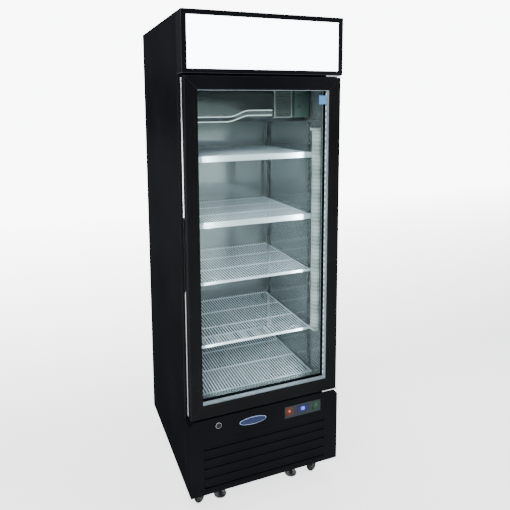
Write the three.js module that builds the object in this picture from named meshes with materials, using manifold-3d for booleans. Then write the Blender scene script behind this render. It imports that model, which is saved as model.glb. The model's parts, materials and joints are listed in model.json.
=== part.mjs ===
// Single-door refrigerated display merchandiser: an upright insulated cabinet with a lit sign,
// a hinged double-glazed door, wire shelves and a refrigeration unit in the base.
//
// Millimetres. +X is the right-hand side seen from the front, +Z is up. Inside this file y = 0 is the
// front plane of the door, the sign box and the base cover, and y grows towards the back. The whole
// assembly is then moved so that the origin is on the floor under the middle of the cabinet.
import * as THREE from 'three';
import { mergeVertices } from 'three/addons/utils/BufferGeometryUtils.js';
import Module from 'manifold-3d';

const wasm = await Module();
wasm.setup();

// ---- driving dimensions -------------------------------------------------------------------------
const GAP = 0.3;                 // clearance kept between neighbouring pieces
const HALF_WIDTH = 343;          // half of the cabinet's width
const HEIGHT = 2062;
const BASE_Z = 120;              // underside of the cabinet shell
const SHELL_FRONT_Y = 67;        // front face of the cabinet body, behind the door
const SHELL_BACK_Y = 715;
const GLAND_DEPTH = 11;          // how far the cord gland stands out at the back
const SHEET = 1.2;               // outer steel sheet

const LINER_HALF_WIDTH = 288;    // inside of the storage space
const LINER_FLOOR_Z = 485;
const LINER_CEILING_Z = 1790;
const LINER_BACK_Y = 645;
const LINER_SHEET = 1;
const WALL_BOTTOM_Z = 430;       // insulated floor and roof
const WALL_TOP_Z = 1850;
const FACE_THICKNESS = 3;        // plastic frame around the door opening

const HEADER_BOTTOM_Z = 1831;
const SIGN_BORDER = { side: 21, top: 20, bottom: 17 };  // black frame around the sign
const BASE_COVER_TOP_Z = 450;
const COVER_WALL = 3;
const CHAMFER = 18;              // cut corners at the top of the base cover
const LOUVRE_LEFT_X = -283;
const LOUVRE_RIGHT_X = 279;
const LOUVRE_BOTTOM_Z = 140;
const LOUVRE_TOP_Z = 355;
const LOUVRE_COUNT = 5;
const LOUVRE_PITCH = 42;
const TOP_SLOT_Z = 320;
const SLOT_HEIGHT = 10;

const DOOR_HALF_WIDTH = 336;
const DOOR_BOTTOM_Z = 457;
const DOOR_TOP_Z = 1823;
const DOOR_DEPTH = 60;
const STILE_WIDTH = 52;          // door edge to visible glass, at the sides
const RAIL_WIDTH = 53;           // door edge to visible glass, at the top and bottom
const GLASS_FRONT_Y = 6;
const GLASS_THICKNESS = 4;
const GLASS_SPACING = 22;        // between the two panes
const GLASS_OVERLAP = 9.5;       // how far the frame covers each pane
const GASKET_INSET = 16;
const GASKET_WIDTH = 20;
const PULL_Y = [18, 48];         // recessed finger pull in the door's free edge
const PULL_Z = [988, 1279];
const PULL_DEPTH = 18;
const PULL_WALL = 2;

const PIN_X = 322;               // door hinge axis
const PIN_Y = 20;
const PIN_RADIUS = 5;
const PIN_LENGTH = 20;
const HINGE_PLATE = 4;

const LOCK_X = -220;
const LOCK_Z = 415;
const LOCK_RADIUS = 11;
const CAM_REACH = 50;

const PLATE_LEFT_X = 80;         // switch plate
const PLATE_RIGHT_X = 256;
const PLATE_BOTTOM_Z = 371;
const PLATE_TOP_Z = 424;
const SWITCH_Z = 401;            // middle of the switches and the display
const ROCKER_X = [103, 233];
const ROCKER_WIDTH = 34;
const ROCKER_HALF_HEIGHT = 18;
const ROCKER_PROUD = 4;
const ROCKER_PIVOT_Y = 3;
const ROCKER_TILT = 6;           // degrees either side of the middle
const DISPLAY_X = [142, 194];
const DISPLAY_HALF_HEIGHT = 15;

const FIN = 1.6;                 // coil fin thickness
const SHELF_TOPS = [1505, 1230, 975, 700];
const SHELF_LIPS = [24, 24, 11, 11];
const SHELF_HALF_WIDTH = 280;
const SHELF_FRONT_Y = 130;
const SHELF_BACK_Y = 625;
const SHELF_THICKNESS = 6;
const SHELF_SLOTS = 14;

const CASTER_SWIVEL_X = 287;
const CASTER_SWIVEL_Y = [107, 647];
const CASTER_TRAIL = 14;
const CASTER_YAW = [[115, -75], [20, -10]];  // front left, front right, rear left, rear right
const WHEEL_RADIUS = 25;
const WHEEL_WIDTH = 17;
const CHANNEL_BOTTOM_Z = 70;
const CHANNEL_WIDTH = 76;
const CHANNEL_HALF_LENGTH = 320;
const FOOT_X = 175;
const FOOT_Y = 124;

// The raised edges of the tipped rockers are foremost and the cord gland is rearmost.
const tilt = THREE.MathUtils.degToRad(ROCKER_TILT);
const FOREMOST_Y = ROCKER_PIVOT_Y - (ROCKER_PIVOT_Y + ROCKER_PROUD) * Math.cos(tilt)
  - ROCKER_HALF_HEIGHT * Math.sin(tilt);
const REARMOST_Y = SHELL_BACK_Y - SHEET + GLAND_DEPTH;
const FRONT_PLANE_Y = -(FOREMOST_Y + REARMOST_Y) / 2;

// ---- materials ----------------------------------------------------------------------------------
const material = (color, roughness, metalness, extra = {}) =>
  new THREE.MeshStandardMaterial({ color, roughness, metalness, ...extra });

const BLACK_STEEL = material(0x17191b, 0.38, 0.3);
const BLACK_PLASTIC = material(0x141516, 0.5, 0);
const LINER_METAL = material(0x8f9690, 0.3, 0.9);
const FOAM = material(0xe8dcae, 0.95, 0);
const SIGN_WHITE = material(0xf4f8fc, 0.35, 0);
const GALVANISED = material(0x9aa0a3, 0.45, 0.9);
const ALUMINIUM = material(0xc9cdd0, 0.3, 1);
const CHROME = material(0xd8dadc, 0.12, 1);
const GLASS = material(0xdfe8e6, 0.03, 0, { transparent: true, opacity: 0.25 });
const RUBBER = material(0x1a1a1a, 0.85, 0);
const WHITE_COATING = material(0xeceeee, 0.4, 0);
const DIFFUSER = material(0xdfe3e4, 0.5, 0);
const PLATE_TEAL = material(0x35474a, 0.2, 0.1);
const DISPLAY_BLUE = material(0x1b3fb0, 0.1, 0);
const ROCKER_RED = material(0xd8452a, 0.25, 0);
const ROCKER_GREEN = material(0x2f9a55, 0.25, 0);
const COMPRESSOR_BLACK = material(0x1c1d1f, 0.45, 0.5);

// ---- geometry helpers ---------------------------------------------------------------------------
const assembly = new THREE.Group();
assembly.position.y = FRONT_PLANE_Y;

function add(name, geometry, look, parent = assembly) {
  const mesh = new THREE.Mesh(geometry, look);
  mesh.name = name;
  parent.add(mesh);
  return mesh;
}

function box([x0, x1], [y0, y1], [z0, z1]) {
  const geometry = new THREE.BoxGeometry(x1 - x0, y1 - y0, z1 - z0);
  return geometry.translate((x0 + x1) / 2, (y0 + y1) / 2, (z0 + z1) / 2);
}

// A closed outline pushed along one axis. The outline is in (x, y) for Z, (y, z) for X, (x, z) for Y.
function prism(outline, axis, from, to, holes = []) {
  const shape = new THREE.Shape(outline.map(([a, b]) => new THREE.Vector2(a, b)));
  shape.holes = holes.map((hole) => new THREE.Path(hole.map(([a, b]) => new THREE.Vector2(a, b))));
  const geometry = new THREE.ExtrudeGeometry(shape, { depth: to - from, bevelEnabled: false });
  const X = new THREE.Vector3(1, 0, 0);
  const Y = new THREE.Vector3(0, 1, 0);
  const Z = new THREE.Vector3(0, 0, 1);
  const turn = new THREE.Matrix4();
  if (axis === 'X') turn.makeBasis(Y, Z, X).setPosition(from, 0, 0);
  if (axis === 'Y') turn.makeBasis(X, Z, Y.clone().negate()).setPosition(0, to, 0);
  if (axis === 'Z') turn.setPosition(0, 0, from);
  return geometry.applyMatrix4(turn);
}

function cylinder(radius, axis, centre, from, to, sides = 24) {
  const geometry = new THREE.CylinderGeometry(radius, radius, to - from, sides);
  const middle = (from + to) / 2;
  if (axis === 'X') geometry.rotateZ(Math.PI / 2).translate(middle, ...centre);
  if (axis === 'Y') geometry.translate(centre[0], middle, centre[1]);
  if (axis === 'Z') geometry.rotateX(Math.PI / 2).translate(...centre, middle);
  return geometry;
}

// A profile of [radius, height] points, starting and ending on the axis, turned about a vertical axis.
function turned(profile, x, y, sides = 24) {
  const points = profile.map(([radius, height]) => new THREE.Vector2(radius, height));
  return new THREE.LatheGeometry(points, sides).rotateX(Math.PI / 2).translate(x, y, 0);
}

function toSolid(geometry) {
  const bare = geometry.clone();
  bare.deleteAttribute('normal');
  bare.deleteAttribute('uv');
  const merged = mergeVertices(bare, 1e-4);
  return new wasm.Manifold(new wasm.Mesh({
    numProp: 3,
    vertProperties: new Float32Array(merged.attributes.position.array),
    triVerts: new Uint32Array(merged.index.array),
  }));
}

function toGeometry(solid) {
  const mesh = solid.getMesh();
  const geometry = new THREE.BufferGeometry();
  geometry.setAttribute('position', new THREE.BufferAttribute(mesh.vertProperties, 3));
  geometry.setIndex(new THREE.BufferAttribute(mesh.triVerts, 1));
  geometry.computeVertexNormals();
  return geometry;
}

const cut = (body, ...tools) =>
  toGeometry(tools.reduce((solid, tool) => solid.subtract(toSolid(tool)), toSolid(body)));
const join = (body, ...others) =>
  toGeometry(others.reduce((solid, other) => solid.add(toSolid(other)), toSolid(body)));

const rectangle = (x0, x1, z0, z1) => [[x0, z0], [x1, z0], [x1, z1], [x0, z1]];

// A flat ring of rectangular section that stands in an x-z plane.
const ring = (outer, inner, y0, y1) => prism(rectangle(...outer), 'Y', y0, y1, [rectangle(...inner)]);

const mirrored = (outline) => outline.map(([x, y]) => [-x, y]).reverse();
const radians = THREE.MathUtils.degToRad;

// ---- cabinet shell ------------------------------------------------------------------------------
const innerX = HALF_WIDTH - SHEET - GAP;
const bodyBackY = SHELL_BACK_Y - SHEET - GAP;
const foamFrontY = SHELL_FRONT_Y + FACE_THICKNESS + GAP;

for (const [side, sign] of [['left', -1], ['right', 1]]) {
  const xs = [sign * HALF_WIDTH, sign * (HALF_WIDTH - SHEET)].sort((a, b) => a - b);
  add(`${side}_side_panel`, box(xs, [SHELL_FRONT_Y, SHELL_BACK_Y], [BASE_Z, HEIGHT]), BLACK_STEEL);
}

const rearVents = Array.from({ length: 8 }, (_, i) =>
  box([-200, 200], [bodyBackY, SHELL_BACK_Y], [180 + i * 26, 190 + i * 26]));
const backPanel = box([-innerX, innerX], [SHELL_BACK_Y - SHEET, SHELL_BACK_Y], [BASE_Z, HEIGHT - 1]);
add('back_panel', cut(backPanel, ...rearVents), BLACK_STEEL);
add('top_panel', box([-innerX, innerX], [SHELL_FRONT_Y + GAP, bodyBackY], [HEIGHT - 2, HEIGHT - 0.8]),
  BLACK_STEEL);
add('base_pan', box([-innerX, innerX], [SHELL_FRONT_Y + GAP, bodyBackY], [BASE_Z, BASE_Z + 2]),
  GALVANISED);

const foamBlock = box([-innerX, innerX], [foamFrontY, bodyBackY], [WALL_BOTTOM_Z, WALL_TOP_Z]);
const linerOuterX = LINER_HALF_WIDTH + LINER_SHEET;
const cavity = box([-linerOuterX - GAP, linerOuterX + GAP],
  [0, LINER_BACK_Y + LINER_SHEET + GAP],
  [LINER_FLOOR_Z - LINER_SHEET - GAP, LINER_CEILING_Z + LINER_SHEET + GAP]);
add('foam_insulation', cut(foamBlock, cavity), FOAM);

add('face_frame', ring([-innerX, innerX, WALL_BOTTOM_Z, WALL_TOP_Z],
  [-LINER_HALF_WIDTH, LINER_HALF_WIDTH, LINER_FLOOR_Z, LINER_CEILING_Z],
  SHELL_FRONT_Y, SHELL_FRONT_Y + FACE_THICKNESS), BLACK_PLASTIC);

// ---- liner: five flat sheets that meet at the corners --------------------------------------------
const wallZ = [LINER_FLOOR_Z + GAP, LINER_CEILING_Z - GAP];
const sideY = [foamFrontY, LINER_BACK_Y - GAP];
const linerY = [foamFrontY, LINER_BACK_Y + LINER_SHEET];
add('liner_left', box([-linerOuterX, -LINER_HALF_WIDTH], sideY, wallZ), LINER_METAL);
add('liner_right', box([LINER_HALF_WIDTH, linerOuterX], sideY, wallZ), LINER_METAL);
add('liner_back', box([-linerOuterX, linerOuterX], [LINER_BACK_Y, LINER_BACK_Y + LINER_SHEET], wallZ),
  LINER_METAL);
add('liner_floor', box([-linerOuterX, linerOuterX], linerY, [LINER_FLOOR_Z - LINER_SHEET, LINER_FLOOR_Z]),
  LINER_METAL);
add('liner_top', box([-linerOuterX, linerOuterX], linerY,
  [LINER_CEILING_Z, LINER_CEILING_Z + LINER_SHEET]), LINER_METAL);

// ---- sign box -----------------------------------------------------------------------------------
const coverBackY = SHELL_FRONT_Y - GAP;
const signX = HALF_WIDTH - SIGN_BORDER.side;
const signZ = [HEADER_BOTTOM_Z + SIGN_BORDER.bottom, HEIGHT - SIGN_BORDER.top];
add('header_frame', ring([-HALF_WIDTH, HALF_WIDTH, HEADER_BOTTOM_Z, HEIGHT], [-signX, signX, ...signZ],
  0, coverBackY), BLACK_STEEL);
add('sign_panel', box([-signX + GAP, signX - GAP], [2, 6], [signZ[0] + GAP, signZ[1] - GAP]), SIGN_WHITE);

// ---- base cover, with louvres, lock hole and switch plate opening ----------------------------------
const slotsX = [LOUVRE_LEFT_X + 2, LOUVRE_RIGHT_X - 2];
const louvres = Array.from({ length: LOUVRE_COUNT }, (_, i) => {
  const z = TOP_SLOT_Z - i * LOUVRE_PITCH;
  return box(slotsX, [-1, COVER_WALL + 1], [z - SLOT_HEIGHT / 2, z + SLOT_HEIGHT / 2]);
});
function coverFace(inset) {
  const x = HALF_WIDTH - inset;
  const [low, high] = [BASE_Z + inset, BASE_COVER_TOP_Z - inset];
  return [[-x, low], [x, low], [x, high - CHAMFER], [x - CHAMFER, high], [CHAMFER - x, high],
    [-x, high - CHAMFER]];
}
const coverBlock = prism(coverFace(0), 'Y', 0, coverBackY);
const coverInside = prism(coverFace(COVER_WALL), 'Y', COVER_WALL, SHELL_FRONT_Y);
const louvreRecess = box([LOUVRE_LEFT_X, LOUVRE_RIGHT_X], [-1, 1], [LOUVRE_BOTTOM_Z, LOUVRE_TOP_Z]);
const plateOpening = box([PLATE_LEFT_X + 3, PLATE_RIGHT_X - 3], [-1, COVER_WALL + 1],
  [PLATE_BOTTOM_Z + 2, PLATE_TOP_Z - 2]);
const lockHole = cylinder(LOCK_RADIUS + 0.5, 'Y', [LOCK_X, LOCK_Z], -1, COVER_WALL + 1);
const camSlot = box([LOCK_X - 40, LOCK_X + 12], [24, 38], [BASE_COVER_TOP_Z - 5, BASE_COVER_TOP_Z + 1]);
add('base_cover', cut(coverBlock, coverInside, louvreRecess, plateOpening, lockHole, camSlot, ...louvres),
  BLACK_STEEL);

const plateY = [-2 - GAP, -GAP];
const plateHole = (x0, x1, halfHeight) =>
  box([x0, x1], [plateY[0] - 1, plateY[1] + 1], [SWITCH_Z - halfHeight, SWITCH_Z + halfHeight]);
const rockerHoles = ROCKER_X.map((x) => {
  const halfWidth = ROCKER_WIDTH / 2 + 0.5;
  return plateHole(x - halfWidth, x + halfWidth, ROCKER_HALF_HEIGHT + 1.2);
});
const plateBlock = box([PLATE_LEFT_X, PLATE_RIGHT_X], plateY, [PLATE_BOTTOM_Z, PLATE_TOP_Z]);
add('switch_plate', cut(plateBlock, ...rockerHoles, plateHole(...DISPLAY_X, DISPLAY_HALF_HEIGHT)),
  PLATE_TEAL);
add('temperature_display', box([DISPLAY_X[0] + GAP, DISPLAY_X[1] - GAP], [-3, 8],
  [SWITCH_Z - DISPLAY_HALF_HEIGHT + GAP, SWITCH_Z + DISPLAY_HALF_HEIGHT - GAP]), DISPLAY_BLUE);

// Each rocker is a shallow V in section and rests tipped one way.
const rockerSection = [[-ROCKER_PROUD, ROCKER_HALF_HEIGHT], [-ROCKER_PROUD / 2, 0],
  [-ROCKER_PROUD, -ROCKER_HALF_HEIGHT], [7, 3 - ROCKER_HALF_HEIGHT], [7, ROCKER_HALF_HEIGHT - 3]];
ROCKER_X.forEach((x, i) => {
  const pivot = new THREE.Group();
  pivot.position.set(x, ROCKER_PIVOT_Y, SWITCH_Z);
  pivot.rotation.x = -tilt;
  assembly.add(pivot);
  const section = rockerSection.map(([y, z]) => [y - ROCKER_PIVOT_Y, z]);
  const geometry = prism(section, 'X', -ROCKER_WIDTH / 2, ROCKER_WIDTH / 2);
  add(['rocker_red', 'rocker_green'][i], geometry, [ROCKER_RED, ROCKER_GREEN][i], pivot);
});

const plug = cylinder(LOCK_RADIUS, 'Y', [LOCK_X, LOCK_Z], -4, 34);
const cam = box([LOCK_X - CAM_REACH, LOCK_X + 8], [28, 33], [LOCK_Z - 7, LOCK_Z + 7]);
add('lock_plug', join(plug, cam), CHROME);

// ---- refrigeration unit in the base -----------------------------------------------------------------
const shellZ = BASE_Z + 2 + GAP;
const compressorProfile = [[0, shellZ + 6], [62, shellZ + 6], [80, shellZ + 26], [80, shellZ + 130],
  [70, shellZ + 165], [40, shellZ + 184], [0, shellZ + 190]];
add('compressor', join(turned(compressorProfile, -150, 470),
  box([-245, -55], [400, 540], [shellZ, shellZ + 8])), COMPRESSOR_BLACK);

// Fins stand across x and are threaded on level tubes.
function finnedCoil(name, [x0, x1], [y0, y1], [z0, z1], fins, tubesDeep, tubesHigh) {
  const pitch = (x1 - x0 - FIN) / (fins - 1);
  const plates = Array.from({ length: fins }, (_, i) =>
    box([x0 + i * pitch, x0 + i * pitch + FIN], [y0, y1], [z0, z1]));
  const tubes = [];
  for (let i = 0; i < tubesDeep; i += 1) {
    for (let j = 0; j < tubesHigh; j += 1) {
      const y = y0 + ((i + 0.5) * (y1 - y0)) / tubesDeep;
      const z = z0 + ((j + 0.5) * (z1 - z0)) / tubesHigh;
      tubes.push(cylinder(5, 'X', [y, z], x0 + FIN / 2, x1 - FIN / 2, 8));
    }
  }
  add(name, join(...plates, ...tubes), ALUMINIUM);
}
finnedCoil('condenser_coil', [30, 320], [110, 160], [shellZ, shellZ + 270], 12, 1, 4);

function fan(name, radius, depth, blades, centre, look) {
  const hub = cylinder(radius * 0.28, 'Y', [0, 0], 0, depth, 16);
  const parts = Array.from({ length: blades }, (_, i) => {
    const blade = new THREE.BoxGeometry(radius * 0.5, 2, radius * 0.82);
    blade.rotateZ(radians(28)).translate(0, depth / 2, radius * 0.59);
    return blade.rotateY((i * 2 * Math.PI) / blades);
  });
  const mesh = add(name, join(hub, ...parts), look);
  mesh.position.set(...centre);
}
fan('condenser_fan', 105, 30, 5, [175, 190, shellZ + 140], BLACK_PLASTIC);

// ---- evaporator under the ceiling ---------------------------------------------------------------
const EVAPORATOR_FRONT_Y = 186;
const EVAPORATOR_BOTTOM_Z = 1640;
const EVAPORATOR_BEND = 45;
const coverTop = LINER_CEILING_Z - GAP;
function coverSection(inset) {
  const y0 = EVAPORATOR_FRONT_Y + inset;
  const z0 = EVAPORATOR_BOTTOM_Z + inset;
  const radius = EVAPORATOR_BEND - inset;
  const bend = Array.from({ length: 7 }, (_, i) => {
    const angle = (i * Math.PI) / 12;
    return [y0 + radius - radius * Math.cos(angle), z0 + radius - radius * Math.sin(angle)];
  });
  return [[y0, coverTop], ...bend, [LINER_BACK_Y - GAP, z0]];
}
const coverOutline = [...coverSection(0), ...coverSection(2).reverse()];
const grilleSlots = Array.from({ length: 6 }, (_, i) =>
  box([117, 203], [EVAPORATOR_FRONT_Y - 1, EVAPORATOR_FRONT_Y + 3], [1698 + i * 14, 1705 + i * 14]));
add('evaporator_cover', cut(prism(coverOutline, 'X', -SHELF_HALF_WIDTH, SHELF_HALF_WIDTH), ...grilleSlots),
  LINER_METAL);
finnedCoil('evaporator_coil', [-262, 70], [290, 600], [EVAPORATOR_BOTTOM_Z + 20, LINER_CEILING_Z - 10],
  14, 3, 2);
fan('evaporator_fan', 52, 22, 4, [160, EVAPORATOR_FRONT_Y + 26, 1725], BLACK_PLASTIC);

// ---- shelf supports, shelves and lamp -----------------------------------------------------------
const PILASTER_WIDTH = 22;
const PILASTER_DEPTH = 6.4;
const PILASTER_WALL = 1.5;
const PILASTER_Z = [500, 1632];
const PILASTER_Y = { front: 150, rear: 590 };
const wallX = LINER_HALF_WIDTH - GAP;
function pilasterSection(y) {
  const faceX = wallX - PILASTER_DEPTH;
  const [y0, y1] = [y, y + PILASTER_WIDTH];
  return [[wallX, y0], [wallX, y0 + PILASTER_WALL], [faceX + PILASTER_WALL, y0 + PILASTER_WALL],
    [faceX + PILASTER_WALL, y1 - PILASTER_WALL], [wallX, y1 - PILASTER_WALL], [wallX, y1],
    [faceX, y1], [faceX, y0]];
}
for (const [place, y] of Object.entries(PILASTER_Y)) {
  const section = pilasterSection(y);
  add(`${place}_right_pilaster`, prism(section, 'Z', ...PILASTER_Z), GALVANISED);
  add(`${place}_left_pilaster`, prism(mirrored(section), 'Z', ...PILASTER_Z), GALVANISED);
}

function slottedPlate(y0, y1, z0, z1) {
  const pitch = (2 * SHELF_HALF_WIDTH - 12) / SHELF_SLOTS;
  const slots = Array.from({ length: SHELF_SLOTS }, (_, i) => {
    const x = -SHELF_HALF_WIDTH + 6 + i * pitch;
    return box([x + 3, x + pitch - 3], [y0 + 12, y1 - 12], [z0 - 1, z1 + 1]);
  });
  return cut(box([-SHELF_HALF_WIDTH, SHELF_HALF_WIDTH], [y0, y1], [z0, z1]), ...slots);
}
SHELF_TOPS.forEach((top, i) => {
  const plate = slottedPlate(SHELF_FRONT_Y, SHELF_BACK_Y, top - SHELF_THICKNESS, top);
  const lip = box([-SHELF_HALF_WIDTH, SHELF_HALF_WIDTH], [SHELF_FRONT_Y - 3, SHELF_FRONT_Y + 1],
    [top - SHELF_LIPS[i] + 2, top + 2]);
  add(`shelf_${i + 1}`, join(plate, lip), WHITE_COATING);
});
add('floor_rack', slottedPlate(110, 635, LINER_FLOOR_Z + GAP, LINER_FLOOR_Z + 10), WHITE_COATING);

const lampSection = [[wallX, 74], [wallX, 122], [wallX - 10, 122], [wallX - 22, 112], [wallX - 26, 98],
  [wallX - 22, 84], [wallX - 10, 74]];
add('interior_lamp', prism(lampSection, 'Z', 715, 1600), DIFFUSER);

// ---- door: four mitred frame members around a double pane ----------------------------------------------
// A profile point is [inset from the door's outer edge, y].
const glassBackY = GLASS_FRONT_Y + 2 * GLASS_THICKNESS + GLASS_SPACING;
function memberProfile(width) {
  const rebate = width - GLASS_OVERLAP - 1;
  const backEdge = width - 4;
  return [[2, 0], [width, 0], [width, GLASS_FRONT_Y - GAP], [rebate, GLASS_FRONT_Y - GAP],
    [rebate, glassBackY + GAP], [backEdge, glassBackY + GAP], [backEdge, DOOR_DEPTH], [0, DOOR_DEPTH],
    [0, 2]];
}

const doorHalfHeight = (DOOR_TOP_Z - DOOR_BOTTOM_Z) / 2;
const doorMidZ = (DOOR_TOP_Z + DOOR_BOTTOM_Z) / 2;

// Sweeps a profile along one side of the door and mitres both ends. towards is the outward direction.
function frameMember(profile, towards) {
  const upright = towards === 'left' || towards === 'right';
  const sign = towards === 'right' || towards === 'top' ? 1 : -1;
  const [across, along] = upright ? [DOOR_HALF_WIDTH, doorHalfHeight] : [doorHalfHeight, DOOR_HALF_WIDTH];
  const geometry = prism(profile, 'Z', 0, 1);
  const position = geometry.attributes.position;
  for (let i = 0; i < position.count; i += 1) {
    const inset = position.getX(i);
    const y = position.getY(i);
    const end = position.getZ(i) > 0.5 ? 1 : -1;
    const a = sign * (across - inset);
    const b = end * (along - inset - 0.2);
    if (upright) position.setXYZ(i, a, y, doorMidZ + b);
    else position.setXYZ(i, b, y, doorMidZ + a);
  }
  const handed = upright ? sign > 0 : sign < 0;
  return handed ? flipped(geometry) : geometry;
}

function flipped(geometry) {
  const plain = geometry.index ? geometry.toNonIndexed() : geometry;
  const position = plain.attributes.position;
  const [a, b] = [new THREE.Vector3(), new THREE.Vector3()];
  for (let i = 0; i < position.count; i += 3) {
    a.fromBufferAttribute(position, i);
    b.fromBufferAttribute(position, i + 1);
    position.setXYZ(i, b.x, b.y, b.z);
    position.setXYZ(i + 1, a.x, a.y, a.z);
  }
  plain.computeVertexNormals();
  return plain;
}

const pinHoles = [[DOOR_BOTTOM_Z - 1, DOOR_BOTTOM_Z + PIN_LENGTH], [DOOR_TOP_Z - PIN_LENGTH, DOOR_TOP_Z + 1]]
  .map(([z0, z1]) => cylinder(PIN_RADIUS + 0.5, 'Z', [PIN_X, PIN_Y], z0, z1, 16));
const camPocket = box([LOCK_X - 36, LOCK_X + 12], [24, 38], [DOOR_BOTTOM_Z - 1, DOOR_BOTTOM_Z + 12]);

const pullPocket = box([-DOOR_HALF_WIDTH - 1, -DOOR_HALF_WIDTH + PULL_DEPTH], PULL_Y, PULL_Z);
const grown = ([low, high], amount) => [low - amount, high + amount];

const railProfile = memberProfile(RAIL_WIDTH);
const stileProfile = memberProfile(STILE_WIDTH);
add('door_top_rail', cut(frameMember(railProfile, 'top'), ...pinHoles), BLACK_STEEL);
add('door_bottom_rail', cut(frameMember(railProfile, 'bottom'), camPocket, ...pinHoles), BLACK_STEEL);
add('door_pull_stile', cut(frameMember(stileProfile, 'left'), pullPocket), BLACK_STEEL);
add('door_hinge_stile', cut(frameMember(stileProfile, 'right'), ...pinHoles), BLACK_STEEL);
const cupBlock = box([-DOOR_HALF_WIDTH, -DOOR_HALF_WIDTH + PULL_DEPTH - GAP], grown(PULL_Y, -GAP),
  grown(PULL_Z, -GAP));
const cupInside = box([-DOOR_HALF_WIDTH - 1, -DOOR_HALF_WIDTH + PULL_DEPTH - PULL_WALL],
  grown(PULL_Y, -PULL_WALL), grown(PULL_Z, -PULL_WALL));
add('door_pull_cup', cut(cupBlock, cupInside), BLACK_PLASTIC);

const paneX = DOOR_HALF_WIDTH - STILE_WIDTH + GLASS_OVERLAP;
const paneZ = [DOOR_BOTTOM_Z + RAIL_WIDTH - GLASS_OVERLAP, DOOR_TOP_Z - RAIL_WIDTH + GLASS_OVERLAP];
const innerPaneY = GLASS_FRONT_Y + GLASS_THICKNESS + GLASS_SPACING;
add('outer_glass', box([-paneX, paneX], [GLASS_FRONT_Y, GLASS_FRONT_Y + GLASS_THICKNESS], paneZ), GLASS);
add('inner_glass', box([-paneX, paneX], [innerPaneY, innerPaneY + GLASS_THICKNESS], paneZ), GLASS);
const spacerOuter = [-paneX + 2, paneX - 2, paneZ[0] + 2, paneZ[1] - 2];
const spacerInner = [-paneX + 10.5, paneX - 10.5, paneZ[0] + 10.5, paneZ[1] - 10.5];
add('glass_spacer', ring(spacerOuter, spacerInner,
  GLASS_FRONT_Y + GLASS_THICKNESS + GAP, innerPaneY - GAP), ALUMINIUM);

const inset = (amount) => [-DOOR_HALF_WIDTH + amount, DOOR_HALF_WIDTH - amount,
  DOOR_BOTTOM_Z + amount / 2, DOOR_TOP_Z - amount / 2];
const gasketInner = [-DOOR_HALF_WIDTH + GASKET_INSET + GASKET_WIDTH,
  DOOR_HALF_WIDTH - GASKET_INSET - GASKET_WIDTH, DOOR_BOTTOM_Z + 26, DOOR_TOP_Z - 26];
add('door_gasket', ring(inset(GASKET_INSET), gasketInner, DOOR_DEPTH + GAP, SHELL_FRONT_Y - GAP), RUBBER);

// ---- hinge brackets fixed to the cabinet, each with its pin ------------------------------------------
function hingeBracket(name, plateZ, pinFrom, pinTo) {
  const plate = box([267, 341], [2, SHELL_FRONT_Y - GAP], [plateZ, plateZ + HINGE_PLATE]);
  add(name, join(plate, cylinder(PIN_RADIUS, 'Z', [PIN_X, PIN_Y], pinFrom, pinTo, 16)), ALUMINIUM);
}
const lowerPlateZ = BASE_COVER_TOP_Z + 0.5;
const upperPlateZ = DOOR_TOP_Z + 3;
hingeBracket('bottom_hinge', lowerPlateZ, lowerPlateZ + 1, DOOR_BOTTOM_Z + PIN_LENGTH - 2);
hingeBracket('top_hinge', upperPlateZ, DOOR_TOP_Z - PIN_LENGTH + 2, upperPlateZ + 1);

// ---- base channels, casters and levelling feet -------------------------------------------------------
const CHANNEL_WALL = 2.5;
function baseChannel(name, middleY, holes = []) {
  const [y0, y1] = [middleY - CHANNEL_WIDTH / 2, middleY + CHANNEL_WIDTH / 2];
  const top = BASE_Z - GAP;
  const section = [[y0, CHANNEL_BOTTOM_Z], [y1, CHANNEL_BOTTOM_Z], [y1, top], [y1 - CHANNEL_WALL, top],
    [y1 - CHANNEL_WALL, CHANNEL_BOTTOM_Z + CHANNEL_WALL],
    [y0 + CHANNEL_WALL, CHANNEL_BOTTOM_Z + CHANNEL_WALL], [y0 + CHANNEL_WALL, top], [y0, top]];
  const bar = prism(section, 'X', -CHANNEL_HALF_LENGTH, CHANNEL_HALF_LENGTH);
  add(name, cut(bar, ...holes), GALVANISED);
}
const footHoles = [-FOOT_X, FOOT_X].map((x) =>
  cylinder(7, 'Z', [x, FOOT_Y], CHANNEL_BOTTOM_Z - 1, CHANNEL_BOTTOM_Z + CHANNEL_WALL + 1, 16));
baseChannel('front_base_channel', CASTER_SWIVEL_Y[0], footHoles);
baseChannel('rear_base_channel', CASTER_SWIVEL_Y[1]);

const footProfile = [[0, 0], [27, 0], [28, 2], [28, 6], [12, 12], [10, 14], [10, 22], [6, 22], [6, 108],
  [0, 108]];
add('left_foot', turned(footProfile, -FOOT_X, FOOT_Y), CHROME);
add('right_foot', turned(footProfile, FOOT_X, FOOT_Y), CHROME);

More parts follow.
